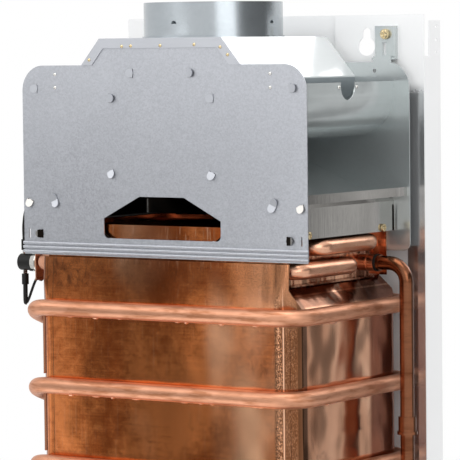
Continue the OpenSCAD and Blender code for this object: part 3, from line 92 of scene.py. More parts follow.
# a socket that takes part in Python expressions
class Wire:
    def __init__(self, tree, socket=None):
        self.tree = tree
        self.socket = socket

    def node(self, kind, settings=None, inputs=None, out=0):
        made = self.tree.nodes.new(kind)
        for name, value in (settings or {}).items():
            setattr(made, name, value)
        for key, value in (inputs or {}).items():
            if isinstance(value, Wire):
                self.tree.links.new(value.socket, made.inputs[key])
            else:
                made.inputs[key].default_value = value
        return Wire(self.tree, made.outputs[out])

    def maths(self, operation, first, second=0.0):
        return self.node("ShaderNodeMath", {"operation": operation}, {0: first, 1: second})

    def __add__(self, other):
        return self.maths("ADD", self, other)

    def __radd__(self, other):
        return self.maths("ADD", other, self)

    def __sub__(self, other):
        return self.maths("SUBTRACT", self, other)

    def __rsub__(self, other):
        return self.maths("SUBTRACT", other, self)

    def __mul__(self, other):
        return self.maths("MULTIPLY", self, other)

    def __rmul__(self, other):
        return self.maths("MULTIPLY", other, self)

    def __truediv__(self, other):
        return self.maths("DIVIDE", self, other)

    def __abs__(self):
        return self.maths("ABSOLUTE", self)

    def clamp(self):
        return self.node("ShaderNodeClamp", None, {0: self})

    def between(self, low, high):  # 0 below low, 1 above high, smooth in the middle
        ends = {0: self, 1: low, 2: high}
        return self.node("ShaderNodeMapRange", {"interpolation_type": "SMOOTHSTEP"}, ends)

    def within(self, start, end):  # 1 from start to end, each a (low, high) pair that it fades over
        return self.between(*start) * (1 - self.between(*end))

    def choose(self, first, second):  # colour first where this is 0, second where it is 1
        first, second = [end if isinstance(end, Wire) else (*end, 1.0) for end in (first, second)]
        return self.node("ShaderNodeMix", {"data_type": "RGBA"}, {0: self, 6: first, 7: second}, out=2)

    def axis(self, name):
        return self.node("ShaderNodeSeparateXYZ", None, {0: self}, out=name)

    def stretched(self, scale, turn=(0, 0, 0)):
        angles = [math.radians(a) for a in turn]
        return self.node("ShaderNodeMapping", None, {"Vector": self, "Rotation": angles, "Scale": scale})

    def noise(self, scale, detail, rough, warp=0.0):
        sizes = {"Vector": self, "Scale": scale, "Detail": detail, "Roughness": rough, "Distortion": warp}
        return self.node("ShaderNodeTexNoise", None, sizes)

    def cells(self, scale):  # one random grey for each crystal
        colour = self.node("ShaderNodeTexVoronoi", None, {"Vector": self, "Scale": scale}, out="Color")
        return colour.node("ShaderNodeSeparateColor", None, {0: colour})

    def bump(self, strength, distance, under=None):
        sizes = {"Strength": strength, "Distance": distance, "Height": self}
        if under is not None:
            sizes["Normal"] = under
        return self.node("ShaderNodeBump", None, sizes)


class Finish:
    def __init__(self, name, metallic=0.0, coat=0.0):
        self.material = bpy.data.materials.new(name)
        self.material.use_nodes = True
        self.tree = self.material.node_tree
        self.shader = self.tree.nodes["Principled BSDF"]
        self.place = Wire(self.tree).node("ShaderNodeTexCoord", out="Object")
        self.put("Metallic", metallic)
        self.put("Coat Weight", coat)

    def put(self, socket, value):
        if isinstance(value, Wire):
            self.tree.links.new(value.socket, self.shader.inputs[socket])
        else:
            self.shader.inputs[socket].default_value = value

    def done(self, colour, rough, normal):
        self.put("Base Color", colour)
        self.put("Roughness", rough)
        self.put("Normal", normal)
        return self.material


# zinc coated sheet: a fine spangle with a dull, even shine
# grain, cloud and the like are a noise's scale, detail, roughness and warp, here and below
zincSheet = {
    "pale": (0.50, 0.515, 0.55), "deep": (0.36, 0.37, 0.40), "metallic": 0.92, "rough": 0.36,
    "spangle": 900.0, "grain": (2900.0, 2.0, 0.7), "cloud": (9.0, 3.0, 0.55),
}


def galvanisedSheet():
    finish = Finish("galvanisedSheet", metallic=zincSheet["metallic"])
    flake = finish.place.cells(zincSheet["spangle"])
    grain = finish.place.noise(*zincSheet["grain"])
    cloud = finish.place.noise(*zincSheet["cloud"])
    shade = (flake * 0.5 + grain * 0.8 + cloud * 0.35 - 0.32).clamp()
    colour = shade.choose(zincSheet["deep"], zincSheet["pale"])
    return finish.done(colour, zincSheet["rough"] + flake * 0.10 + grain * 0.06, grain.bump(0.14, 0.0004))


# the same sheet, smooth enough to mirror: pale, deep, metallic, roughness and the roof's painted shade below
# its eave
brightSheets = {
    "brightGalvanised": ((0.50, 0.535, 0.56), (0.31, 0.345, 0.37), 0.90, 0.15, None),
    # the inner and roof rows are paler copies of the sheet: painted light that lifts the diverter's shaded
    # inside and whitens the roof
    "lightenedInnerGalvanised": ((0.66, 0.695, 0.695), (0.48, 0.525, 0.525), 0.66, 0.10, None),
    "lightenedRoofGalvanised": ((0.86, 0.88, 0.885), (0.72, 0.75, 0.755), 0.5, 0.10, (0.22, 0.25, 0.27)),
}
sheetMarks = {
    "cloud": (14.0, 3.0, 0.6), "grain": (1800.0, 2.0, 0.6), "ripple": (22.0, 1.0, 0.4),
    "drawnRun": (1.0, 0.06, 1.0), "drawn": (420.0, 3.0, 0.6), "paintedEaveShadeZ": (-0.0245, -0.0235),
}
# rims and lugs that stand out in front are grey
rim = {"pale": (0.47, 0.485, 0.52), "behindY": (-0.1592, -0.1580)}
# painted shade on the rear plate, darkening it where the collector's left corner leaves a gap
paintedCornerShade = {
    "colour": (0.012, 0.009, 0.007), "plateY": (-0.0100, -0.0092),
    "fromX": (0.1170, 0.1180), "toX": (0.1215, 0.1225),
    "footZ": (-0.1400, -0.1390), "headZ": (-0.1195, -0.1185),
}


def paintedCornerShadeMask(place):
    across, depth, height = [place.axis(name) for name in "XYZ"]
    strip = (0.0 - across).within(paintedCornerShade["fromX"], paintedCornerShade["toX"])
    rise = height.within(paintedCornerShade["footZ"], paintedCornerShade["headZ"])
    return strip * rise * depth.between(*paintedCornerShade["plateY"])


def brightSheet(name):
    pale, deep, metallic, rough, paintedEaveShade = brightSheets[name]
    finish = Finish(name, metallic=metallic)
    place = finish.place
    cloud = place.noise(*sheetMarks["cloud"])
    grain = place.noise(*sheetMarks["grain"])
    ripple = place.noise(*sheetMarks["ripple"])
    drawn = place.stretched(sheetMarks["drawnRun"]).noise(*sheetMarks["drawn"])
    colour = (cloud * 0.7 + drawn * 0.3).choose(deep, pale)
    if paintedEaveShade:
        # painted shade: the roof darker below its eave
        below = 1 - place.axis("Z").between(*sheetMarks["paintedEaveShadeZ"])
        colour = (below * 0.9).choose(colour, paintedEaveShade)
    # painted shade on the rear plate behind the collector's left corner
    colour = paintedCornerShadeMask(place).choose(colour, paintedCornerShade["colour"])
    behind = place.axis("Y").between(*rim["behindY"])
    dullness = rough + (1 - behind) * 0.2 + cloud * 0.10 + grain * 0.05
    relief = grain.bump(0.06, 0.0003, ripple.bump(0.2, 0.004))
    return finish.done(behind.choose(rim["pale"], colour), dullness, relief)


# copper sheet coloured by heat: the front browned and blotched, the flanks still bright, soft dents; painted
# highlights on the front, and painted shade along its top, in its creases, at its right corner, on the
# flanks' rear and on the flare
heatedSheet = {
    "frontDeep": (0.36, 0.088, 0.022), "frontWarm": (0.74, 0.245, 0.080), "frontPaintedGlow": (0.92, 0.50, 0.29),
    "sidePale": (0.88, 0.52, 0.345), "sideDeep": (0.50, 0.20, 0.095), "rear": (0.17, 0.028, 0.005),
    "soot": (0.075, 0.026, 0.012), "bright": (0.86, 0.50, 0.33), "flareBrownAndShade": (0.15, 0.055, 0.028),
    "seamDark": (0.12, 0.05, 0.022), "seamPale": (0.78, 0.42, 0.25), "cornerBrown": (0.24, 0.12, 0.080),
    "sideY": (-0.1545, -0.1475), "rearShadeY": (-0.053, -0.046),
    "seamX": (0.1030, 0.1055), "seamEdge": (0.1085, 0.1120), "seamFold": 0.1114,
    "sootAndShadeFoot": (-0.203, -0.176), "sootAndShadeHead": (-0.159, -0.151), "creaseX": (0.092, 0.102),
    "smearX": (-0.086, -0.048), "smearFoot": (-0.192, -0.182), "smearHead": (-0.168, -0.158),
    "folds": (-0.1106, -0.1048), "foldWidth": 0.0007, "runZ": (-0.172, -0.156), "paintedPalerX": (0.055, 0.092),
    "turnStart": (0.04, 0.25), "turnEnd": (-0.1425, -0.1405), "turnX": (0.0, 0.05),
    "jacketFoot": (-0.183, -0.179), "flareFoot": (-0.199, -0.196),
    "cornerX": (-0.1135, -0.1118), "cornerY": (-0.128, -0.116),
}
# how each of its marks is stretched, and the noise that draws it
heatedMarks = {
    "patch": ((1, 1, 0.55), (12.0, 2.0, 0.5, 0.8)),
    "paintedGlow": ((1, 1, 0.55), (17.0, 1.0, 0.4, 0.3)),
    "paintedPaler": ((1, 1, 0.55), (21.0, 2.0, 0.5, 0.6)),
    "stain": ((1, 1, 0.55), (36.0, 4.0, 0.65, 0.5)),
    "scratch": ((1, 1, 0.03), (800.0, 2.0, 0.7)),
    "speck": ((1, 1, 1), (1000.0, 2.0, 0.7)),
    "dust": ((1, 1, 0.6), (1150.0, 3.0, 0.8)),
    "mottle": ((1, 1, 1), (130.0, 5.0, 0.66, 0.4)),
    "brushed": ((0.035, 1, 1), (900.0, 2.0, 0.6)),
    "runs": ((1, 1, 0.10), (330.0, 2.0, 0.6)),
    "crease": ((1, 1, 0.3), (75.0, 1.0, 0.4)),
    "dent": ((1, 1, 1), (24.0, 1.0, 0.45)),
}
# the values of a mark at which it begins to show and shows in full
heatedEdges = {
    "front": (0.34, 0.66), "flank": (0.25, 0.75), "paintedGlow": (0.50, 0.70), "paintedPaler": (0.30, 0.60),
    "stain": (0.60, 0.76), "scratch": (0.60, 0.76), "speck": (0.62, 0.76), "dust": (0.49, 0.60),
    "runs": (0.56, 0.68), "smear": (0.47, 0.66),
}
smearMarks = {"run": (1.0, 1.0, 0.6), "turn": (0, 32, 0), "noise": (95.0, 4.0, 0.65, 1.4)}


def fluxSmear(place, across, height):  # where flux was wiped off the front's upper left corner
    wiped = place.stretched(smearMarks["run"], smearMarks["turn"]).noise(*smearMarks["noise"])
    corner = 1 - across.between(*heatedSheet["smearX"])
    rise = height.within(heatedSheet["smearFoot"], heatedSheet["smearHead"])
    return wiped.between(*heatedEdges["smear"]) * corner * rise


def foldLine(across, x):  # a thin crease up the sheet
    width = heatedSheet["foldWidth"]
    return across.within((x - width, x - width / 4), (x + width / 4, x + width))


def heatedCopper():
    finish = Finish("heatedCopper", metallic=1.0)
    place, looks, edges = finish.place, heatedSheet, heatedEdges
    across, depth, height = [place.axis(name) for name in "XYZ"]
    patch, paintedGlow, paintedPaler, stain, scratch, speck, dust, mottle, brushed, runs, crease, dent = [
        place.stretched(run).noise(*sizes) for run, sizes in heatedMarks.values()]
    side = depth.between(*looks["sideY"])
    inFront = 1 - side
    # a band along the front's top, darkened by soot specks and by painted shade
    sootAndShadeBand = height.within(looks["sootAndShadeFoot"], looks["sootAndShadeHead"])

    blotch = (patch + mottle * 0.42 + brushed * 0.16 - 0.29).between(*edges["front"])
    front = blotch.choose(looks["frontDeep"], looks["frontWarm"])
    # painted highlights: soft bright reflection patches over the front, more of them towards its right side
    paintedPaler = across.between(*looks["paintedPalerX"]) * paintedPaler.between(*edges["paintedPaler"])
    front = (paintedGlow.between(*edges["paintedGlow"]) * 0.7 + paintedPaler * 0.55).clamp().choose(front, looks["frontPaintedGlow"])

    flank = patch.between(*edges["flank"]).choose(looks["sideDeep"], looks["sidePale"])
    # painted shade on the flanks' rear, with less of it on the jacket
    rear = depth.between(*looks["rearShadeY"]) * 0.85 * (1 - height.between(*looks["jacketFoot"]) * 0.45)
    flank = rear.choose(flank, looks["rear"])
    # the flank's flare: heat browning and painted shade
    flare = height.within(looks["flareFoot"], looks["jacketFoot"]) * side
    flank = (flare * 0.85).choose(flank, looks["flareBrownAndShade"])

    worn = scratch.between(*edges["scratch"]) * 0.22 + speck.between(*edges["speck"]) * 0.14
    # stains, and the top band's soot specks and painted shade
    dark = (stain.between(*edges["stain"]) * 0.4 + sootAndShadeBand * inFront * (0.25 + speck * 0.5)).clamp()
    smear = fluxSmear(place, across, height) * inFront
    runs = runs.between(*edges["runs"]) * height.between(*looks["runZ"]) * inFront
    browned = (1 - across.between(*looks["cornerX"])) * (1 - depth.between(*looks["cornerY"]))
    seam = across.between(*looks["seamX"]) * inFront * (1 - height.between(*looks["sootAndShadeFoot"]))
    dusty = dust.between(*edges["dust"]) * (1 - across.between(*looks["seamEdge"]) * 0.7)
    # painted shade down the right front corner, where the sheet turns away
    turned = side.between(*looks["turnStart"]) * (1 - depth.between(*looks["turnEnd"]))
    turned = turned * (1 - sootAndShadeBand) * across.between(*looks["turnX"])
    layers = [
        (worn, looks["bright"]),
        (dark, looks["soot"]),
        (smear * 0.65, looks["soot"]),
        (runs * 0.45, looks["bright"]),
        # painted shade in two creases up the left side
        *[(foldLine(across, x) * 0.55, looks["seamDark"]) for x in looks["folds"]],
        (browned * 0.8, looks["cornerBrown"]),
        (seam * 0.85, dusty.choose(looks["seamDark"], looks["seamPale"])),
        # a painted highlight along the seam's fold
        (foldLine(across, looks["seamFold"]) * (1 - sootAndShadeBand), looks["bright"]),
        (turned * 0.9, looks["seamDark"]),
    ]
    colour = side.choose(front, flank)
    for mask, layer in layers:  # each over the one before
        colour = mask.choose(colour, layer)

    dullness = 0.13 - side * 0.04 + stain * 0.10 + scratch * 0.04
    creased = crease * sootAndShadeBand * across.between(*looks["creaseX"])
    dents = dent * (0.55 + side * 0.45) + creased * 0.7
    return finish.done(colour, dullness, scratch.bump(0.05, 0.0004, dents.bump(0.5, 0.006)))


# drawn copper tube, bright, satin, and darker on the hot pipe, partly tarnish and partly painted shade: pale,
# deep, roughness and tarnish
drawnTubes = {
    "copperTube": ((0.86, 0.51, 0.355), (0.58, 0.27, 0.155), 0.20, 0.25),
    "satinTube": ((0.76, 0.40, 0.26), (0.44, 0.19, 0.10), 0.36, 0.75),
    # the hot pipe's copy: darker for tarnish and for painted shade
    "darkenedTube": ((0.30, 0.125, 0.066), (0.13, 0.045, 0.02), 0.12, 0.4),
}
tubeMarks = {
    "patch": (45.0, 3.0, 0.55), "grain": (1500.0, 2.0, 0.7),
    "streakRun": (0.05, 0.05, 1.0), "streak": (1300.0, 2.0, 0.6),
    "tarnishRun": (0.16, 0.16, 1.0), "tarnish": (240.0, 3.0, 0.6), "tarnishEdge": (0.46, 0.74),
}


def drawnTube(name):
    pale, deep, rough, age = drawnTubes[name]
    finish = Finish(name, metallic=1.0)
    place = finish.place
    patch = place.noise(*tubeMarks["patch"])
    grain = place.noise(*tubeMarks["grain"])
    streak = place.stretched(tubeMarks["streakRun"]).noise(*tubeMarks["streak"])
    tarnish = place.stretched(tubeMarks["tarnishRun"]).noise(*tubeMarks["tarnish"])
    tarnish = tarnish.between(*tubeMarks["tarnishEdge"])
    shade = (patch * 0.8 + streak * 0.5 + grain * 0.2 - 0.25 - tarnish * age).clamp()
    dullness = rough + streak * 0.12 + grain * 0.06 + tarnish * 0.05
    return finish.done(shade.choose(deep, pale), dullness, streak.bump(0.08, 0.0003))


# white powder coat, with a grey metal margin inside both flanges that stands in for the shade there
whiteCoat = {
    "base": (0.94, 0.945, 0.95), "shade": (0.90, 0.905, 0.91), "coat": 0.15, "rough": 0.34,
    "peel": (700.0, 2.0, 0.5), "cloud": (6.0, 2.0, 0.5), "zinc": (0.62, 0.62, 0.63), "marginShine": 0.85,
    "marginFrom": (0.1185, 0.1195), "marginTo": (0.1424, 0.1428), "marginHead": (-0.040, -0.027),
    "facing": (0.4, 0.6),
}


def greyShadeMargin(place):
    forwards = 0.0 - place.node("ShaderNodeTexCoord", out="Normal").axis("Y")
    strip = abs(place.axis("X")).within(whiteCoat["marginFrom"], whiteCoat["marginTo"])
    below = 1 - place.axis("Z").between(*whiteCoat["marginHead"])
    return strip * below * forwards.between(*whiteCoat["facing"])


def whitePaint():
    finish = Finish("whitePaint", coat=whiteCoat["coat"])
    # painted shade: a grey metal margin inside both flanges
    bare = greyShadeMargin(finish.place)
    peel = finish.place.noise(*whiteCoat["peel"])
    cloud = finish.place.noise(*whiteCoat["cloud"])
    paint = cloud.choose(whiteCoat["shade"], whiteCoat["base"])
    dullness = whiteCoat["rough"] - bare * 0.18 + peel * 0.12
    finish.put("Metallic", bare * whiteCoat["marginShine"])
    return finish.done(bare.choose(paint, whiteCoat["zinc"]), dullness, peel.bump(0.10, 0.0004))


# the collector's brushed steel, black inside with soot and painted shade
sootAndShadeSteel = {
    "pale": (0.50, 0.485, 0.46), "deep": (0.30, 0.29, 0.275), "soot": (0.012, 0.009, 0.007), "rough": 0.62,
    "wallX": (0.1190, 0.1194), "run": (1, 1, 0.04), "mark": (900.0, 3.0, 0.65), "cloud": (30.0, 3.0, 0.55),
}


def sootAndShadeStainless():
    finish = Finish("sootAndShadeStainless", metallic=1.0)
    outside = abs(finish.place.axis("X")).between(*sootAndShadeSteel["wallX"])
    mark = finish.place.stretched(sootAndShadeSteel["run"]).noise(*sootAndShadeSteel["mark"])
    cloud = finish.place.noise(*sootAndShadeSteel["cloud"])
    clean = (mark * 0.5 + cloud * 0.6).clamp().choose(sootAndShadeSteel["deep"], sootAndShadeSteel["pale"])
    dullness = sootAndShadeSteel["rough"] - outside * 0.56 + mark * 0.06
    # black inside: soot and painted shade
    return finish.done(outside.choose(sootAndShadeSteel["soot"], clean), dullness, mark.bump(0.10, 0.0004))


# other metals: pale, deep, roughness, the way their marks run and the scale of those
plainMetals = {
    "brushedStainless": ((0.66, 0.64, 0.61), (0.40, 0.385, 0.36), 0.11, (1, 0.05, 1), 700),
    "turnedBrass": ((0.80, 0.60, 0.30), (0.68, 0.49, 0.225), 0.24, (0.2, 0.2, 1), 900),
    "castAlloy": ((0.60, 0.61, 0.62), (0.42, 0.43, 0.44), 0.46, (1, 1, 1), 1300),
    "zincPlate": ((0.74, 0.73, 0.70), (0.50, 0.49, 0.46), 0.22, (1, 1, 0.3), 800),
    "yellowZinc": ((0.78, 0.66, 0.42), (0.50, 0.38, 0.20), 0.20, (1, 1, 1), 700),
    "burntSteel": ((0.46, 0.43, 0.40), (0.22, 0.19, 0.17), 0.36, (1, 0.2, 1), 260),
}
metalMarks = {"fineness": (3.0, 0.65), "cloud": (30.0, 3.0, 0.55)}


def plainMetal(name):
    pale, deep, rough, run, scale = plainMetals[name]
    finish = Finish(name, metallic=1.0)
    mark = finish.place.stretched(run).noise(scale, *metalMarks["fineness"])
    cloud = finish.place.noise(*metalMarks["cloud"])
    shade = (mark * 0.6 + cloud * 0.6 - 0.1).clamp()
    return finish.done(shade.choose(deep, pale), rough - 0.05 + mark * 0.14, mark.bump(0.12, 0.0004))


# plastics, rubber, ceramic and cell jackets: pale, deep, roughness, the grain's scale, coat and shine
plainSolids = {
    "blackPlastic": ((0.045, 0.044, 0.044), (0.022, 0.021, 0.021), 0.42, 1500, 0.0, 0.5),
    "whitePlastic": ((0.82, 0.82, 0.80), (0.74, 0.74, 0.72), 0.30, 900, 0.2, 0.5),
    "blackRubber": ((0.016, 0.0155, 0.015), (0.007, 0.007, 0.007), 0.48, 1200, 0.0, 0.22),
    "glazedCeramic": ((0.86, 0.84, 0.78), (0.78, 0.75, 0.68), 0.18, 300, 0.4, 0.5),
    "cellJacket": ((0.10, 0.19, 0.12), (0.06, 0.12, 0.075), 0.30, 500, 0.3, 0.5),
}
solidMarks = {"fineness": (3.0, 0.6), "cloud": (60.0, 2.0, 0.5)}


def plainSolid(name):
    pale, deep, rough, scale, coat, shine = plainSolids[name]
    finish = Finish(name, coat=coat)
    finish.put("Specular IOR Level", shine)
    grain = finish.place.noise(scale, *solidMarks["fineness"])
    cloud = finish.place.noise(*solidMarks["cloud"])
    shade = (grain * 0.5 + cloud * 0.5).clamp()
    return finish.done(shade.choose(deep, pale), rough - 0.06 + grain * 0.16, grain.bump(0.14, 0.0003))


finishes = {
    "galvanisedSheet": galvanisedSheet(),
    "heatedCopper": heatedCopper(),
    "whitePaint": whitePaint(),
    "sootAndShadeStainless": sootAndShadeStainless(),
}
for makeFinish, rows in (
    (brightSheet, brightSheets), (drawnTube, drawnTubes),
    (plainMetal, plainMetals), (plainSolid, plainSolids),
):
    for finishName in rows:
        finishes[finishName] = makeFinish(finishName)

# which finish each piece of the frame wears
wornBy = {
    "galvanisedSheet": ["diverter_front_plate", "pipe_bracket", "burner_frame", "electrode_bracket"],
    "brightGalvanised": ["flue_collar", "flue_deflector"],
    "lightenedInnerGalvanised": [
        "diverter_rear_plate", "side_gutter_right", "side_gutter_left", "gable_deflector", "hanger_brackets",
    ],
    "lightenedRoofGalvanised": ["diverter_roof"],
    "heatedCopper": ["combustion_shell", "exchanger_jacket", "fin_pack"],
    "copperTube": [
        "cold_feed_pipe", "return_bends_right", "return_bends_left", "exchanger_tubes",
        "outlet_ferrule", "thermostat_bracket",
    ],
    "satinTube": ["heating_coil"],
    "darkenedTube": ["hot_pipe", "hot_pipe_joint", "hot_pipe_lower"],
    "whitePaint": ["back_panel"],
    "sootAndShadeStainless": ["flue_collector"],
    "brushedStainless": ["thermostat_flange"],
    "burntSteel": ["burner_bars"],
    "yellowZinc": ["bracket_screws", "collector_screws"],
    "zincPlate": [
        "thermostat_screws", "thermostat_terminals",
        "gas_manifold", "gas_pipe", "electrode_rods", "push_rod", "water_valve_screws",
    ],
    "castAlloy": ["gas_valve_body", "gas_valve_cover"],
    "turnedBrass": [
        "gas_injectors", "gas_plunger", "gas_inlet_fitting", "water_valve_body", "water_valve_cover",
        "cold_inlet_fitting", "hot_outlet_fitting",
    ],
    "blackRubber": [
        "outlet_seal", "terminal_sleeves", "thermostat_body",
        "thermostat_lead_upper", "thermostat_lead_lower", "diaphragm",
    ],
    "blackPlastic": ["power_knob", "flow_knob", "control_box", "battery_tray"],
    "whitePlastic": ["power_button"],
    "glazedCeramic": ["electrode_ceramics"],
    "cellJacket": ["battery_cells"],
}
for finishName, names in wornBy.items():
    for name in names:
        nodes[name].data.materials.clear()
        nodes[name].data.materials.append(finishes[finishName])
print("stage: finishes on", sum(len(names) for names in wornBy.values()), "nodes")


# node trees that grow pieces from paths and points
def newTree(name, sizes):
    tree = bpy.data.node_groups.new(name, "GeometryNodeTree")
    tree.interface.new_socket("Geometry", in_out="INPUT", socket_type="NodeSocketGeometry")
    for label, kind in sizes.items():
        tree.interface.new_socket(label, in_out="INPUT", socket_type=kind)
    tree.interface.new_socket("Geometry", in_out="OUTPUT", socket_type="NodeSocketGeometry")
    entry = tree.nodes.new("NodeGroupInput")
    return tree, {socket.name: Wire(tree, socket) for socket in entry.outputs if socket.name}


def endTree(tree, shape, finish):
    shape = shape.node("GeometryNodeRealizeInstances", None, {0: shape})
    shape = shape.node("GeometryNodeSetMaterial", None, {"Geometry": shape, "Material": finish})
    end = tree.nodes.new("NodeGroupOutput")
    tree.links.new(shape.socket, end.inputs[0])


def sweptTubeTree():
    sizes = {"Radius": "NodeSocketFloat", "Sides": "NodeSocketInt", "Finish": "NodeSocketMaterial"}
    tree, given = newTree("sweptTube", sizes)
    circle = {"Resolution": given["Sides"], "Radius": given["Radius"]}
    ring = Wire(tree).node("GeometryNodeCurvePrimitiveCircle", None, circle)
    sweep = {"Curve": given["Geometry"], "Profile Curve": ring, "Fill Caps": True}
    skin = ring.node("GeometryNodeCurveToMesh", None, sweep)
    skin = skin.node("GeometryNodeSetShadeSmooth", None, {"Geometry": skin})
    endTree(tree, skin, given["Finish"])
    return tree


def setOutTree():
    tree, given = newTree("setOut", {"Part": "NodeSocketObject", "Finish": "NodeSocketMaterial"})
    named = {"data_type": "FLOAT_VECTOR"}
    facing = Wire(tree).node("GeometryNodeInputNamedAttribute", named, {"Name": "facing"})
    size = Wire(tree).node("GeometryNodeInputNamedAttribute", named, {"Name": "size"})
    turn = facing.node("FunctionNodeAlignRotationToVector", {"axis": "Z"}, {"Vector": facing})
    part = Wire(tree).node("GeometryNodeObjectInfo", None, {"Object": given["Part"]}, out="Geometry")
    points = part.node("GeometryNodeMeshToPoints", None, {"Mesh": given["Geometry"]})
    spread = {"Points": points, "Instance": part, "Rotation": turn, "Scale": size}
    endTree(tree, points.node("GeometryNodeInstanceOnPoints", None, spread), given["Finish"])
    return tree


sweptTube = sweptTubeTree()
setOut = setOutTree()


def plainMesh(host):
    graph = bpy.context.evaluated_depsgraph_get()
    return bpy.data.meshes.new_from_object(host.evaluated_get(graph), depsgraph=graph)


def closedMesh(work, name):  # ends the work on a mesh and keeps what it made
    mesh = bpy.data.meshes.new(name)
    work.to_mesh(mesh)
    work.free()
    return mesh


def turnOutwards(mesh):
    work = bmesh.new()
    work.from_mesh(mesh)
    bmesh.ops.remove_doubles(work, verts=work.verts, dist=1e-6)
    bmesh.ops.recalc_face_normals(work, faces=work.faces)
    work.to_mesh(mesh)
    work.free()


def cutAway(whole, tool, name):  # a new object of what is left; the whole and the tool go
    cut = whole.modifiers.new("cut", "BOOLEAN")
    cut.operation = "DIFFERENCE"
    cut.use_self = True
    cut.object = tool
    left = addObject(name, plainMesh(whole))
    bpy.data.objects.remove(whole)
    bpy.data.objects.remove(tool)
    return left


def growPiece(name, host, tree, values):
    modifier = host.modifiers.new("grow", "NODES")
    modifier.node_group = tree
    for item in tree.interface.items_tree:
        if item.in_out == "INPUT" and item.name in values:
            modifier[item.identifier] = values[item.name]
    mesh = plainMesh(host)
    mesh.name = name
    bpy.data.objects.remove(host)
    turnOutwards(mesh)
    return addObject(name, mesh)


def pathHost(name, points):
    curve = bpy.data.curves.new(name, "CURVE")
    curve.dimensions = "3D"
    spline = curve.splines.new("POLY")
    spline.points.add(len(points) - 1)
    for knot, place in zip(spline.points, points):
        knot.co = (*place, 1.0)
    return addObject(name, curve)


def pointHost(name, places):
    mesh = bpy.data.meshes.new(name)
    mesh.from_pydata([place for place, facing, size in places], [], [])
    facings = mesh.attributes.new("facing", "FLOAT_VECTOR", "POINT")
    sizes = mesh.attributes.new("size", "FLOAT_VECTOR", "POINT")
    for i, (place, facing, size) in enumerate(places):
        facings.data[i].vector = facing
        sizes.data[i].vector = size
    return addObject(name, mesh)


def tubeAlong(name, points, radius, sides, finish):
    values = {"Radius": radius, "Sides": sides, "Finish": finishes[finish]}
    return growPiece(name, pathHost(name + "Path", points), sweptTube, values)


def setOutOn(name, places, part, finish):  # a copy of the part on each (place, facing, size)
    values = {"Part": part, "Finish": finishes[finish]}
    return growPiece(name, pointHost(name + "Places", places), setOut, values)


def roundedPath(corners, bends, step=7.5):  # straight runs with a true arc at each corner
    points = [corners[0]]
    for before, corner, after, bend in zip(corners, corners[1:], corners[2:], bends):
        wayIn = (corner - before).normalized()
        wayOut = (after - corner).normalized()
        turn = wayIn.angle(wayOut)
        inward = (wayOut - wayIn * wayIn.dot(wayOut)).normalized()
        start = corner - wayIn * bend * math.tan(turn / 2)
        steps = max(2, round(math.degrees(turn) / step))
        for k in range(steps + 1):
            a = turn * k / steps
            points.append(start + wayIn * bend * math.sin(a) + inward * bend * (1 - math.cos(a)))
    return points + [corners[-1]]


def smoothPath(route, steps=8):  # smooth curve through every point of a lead's route
    points = []
    last = len(route) - 1
    for i in range(last):
        p0, p1, p2, p3 = route[max(i - 1, 0)], route[i], route[i + 1], route[min(i + 2, last)]
        for k in range(steps):
            t = k / steps
            points.append(0.5 * (2 * p1 + (p2 - p0) * t + (2 * p0 - 5 * p1 + 4 * p2 - p3) * t * t
                                 + (3 * p1 - p0 - 3 * p2 + p3) * t ** 3))
    return points + [route[-1]]


def revolved(name, profile, segments):  # outline of (radius, height) turned about Z
    work = bmesh.new()
    angles = [2 * math.pi * k / segments for k in range(segments)]
    rings = []
    for radius, height in profile:
        if radius == 0:
            rings.append([work.verts.new((0, 0, height))])
            continue
        rings.append([work.verts.new((radius * math.cos(a), radius * math.sin(a), height)) for a in angles])
    for low, high in zip(rings, rings[1:]):
        for k in range(segments):
            k2 = (k + 1) % segments
            corners = [low[k % len(low)], low[k2 % len(low)], high[k2 % len(high)], high[k % len(high)]]
            work.faces.new(list(dict.fromkeys(corners)))
    bmesh.ops.recalc_face_normals(work, faces=work.faces)
    mesh = closedMesh(work, name)
    mesh.shade_smooth()
    return addObject(name, mesh)


# the coil, wound round the shell from its foot up as one smooth tube
coil = {
    "tubeRadius": 0.0065, "gap": 0.0002, "pitch": 0.0618, "turns": 3, "sides": 28,
    "flareDrop": 0.018, "topBelowFlare": 0.0044, "shellCorner": 0.015,
    "footDrop": 0.038, "feedY": -0.060, "feedBend": 0.015, "easing": 0.040, "endBend": 0.009,
}


def coilLevels():  # the turns' heights, from the foot up
    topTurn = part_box("combustion_shell")[1].z - coil["flareDrop"] - coil["topBelowFlare"]
    return [topTurn - i * coil["pitch"] for i in reversed(range(coil["turns"]))]


def windCoil():
    low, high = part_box("combustion_shell")
    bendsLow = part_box("return_bends_right")[0]
    off = coil["tubeRadius"] + coil["gap"]
    x, front, rear = high.x + off, low.y - off, high.y + off
    levels = coilLevels()
    climb = coil["pitch"] / (rear - front)
    endX, endY = bendsLow.x, bendsLow.y + coil["tubeRadius"]
    endZ = bendsLow.z + coil["tubeRadius"]
    corners = [
        Vector((-x, coil["feedY"], low.z - coil["footDrop"])),
        Vector((-x, coil["feedY"], levels[0] - (coil["feedY"] - front) * climb)),
    ]
    for z in levels:
        corners += [Vector((-x, front, z)), Vector((x, front, z))]
        corners += [Vector((x, rear, z)), Vector((-x, rear, z))]
    corners += [
        Vector((-x, rear - (endZ - levels[-1]) / climb, endZ)),
        Vector((-x, endY, endZ)),
        Vector((-endX, endY, endZ)),
    ]
    cornerBend = coil["shellCorner"] + off
    bends = [coil["feedBend"]] + [cornerBend] * (4 * coil["turns"]) + [coil["easing"], coil["endBend"]]
    path = roundedPath(corners, bends)
    piece = tubeAlong("woundCoil", path, coil["tubeRadius"], coil["sides"], "satinTube")
    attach(piece, "heater")
    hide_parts("heating_coil")


windCoil()

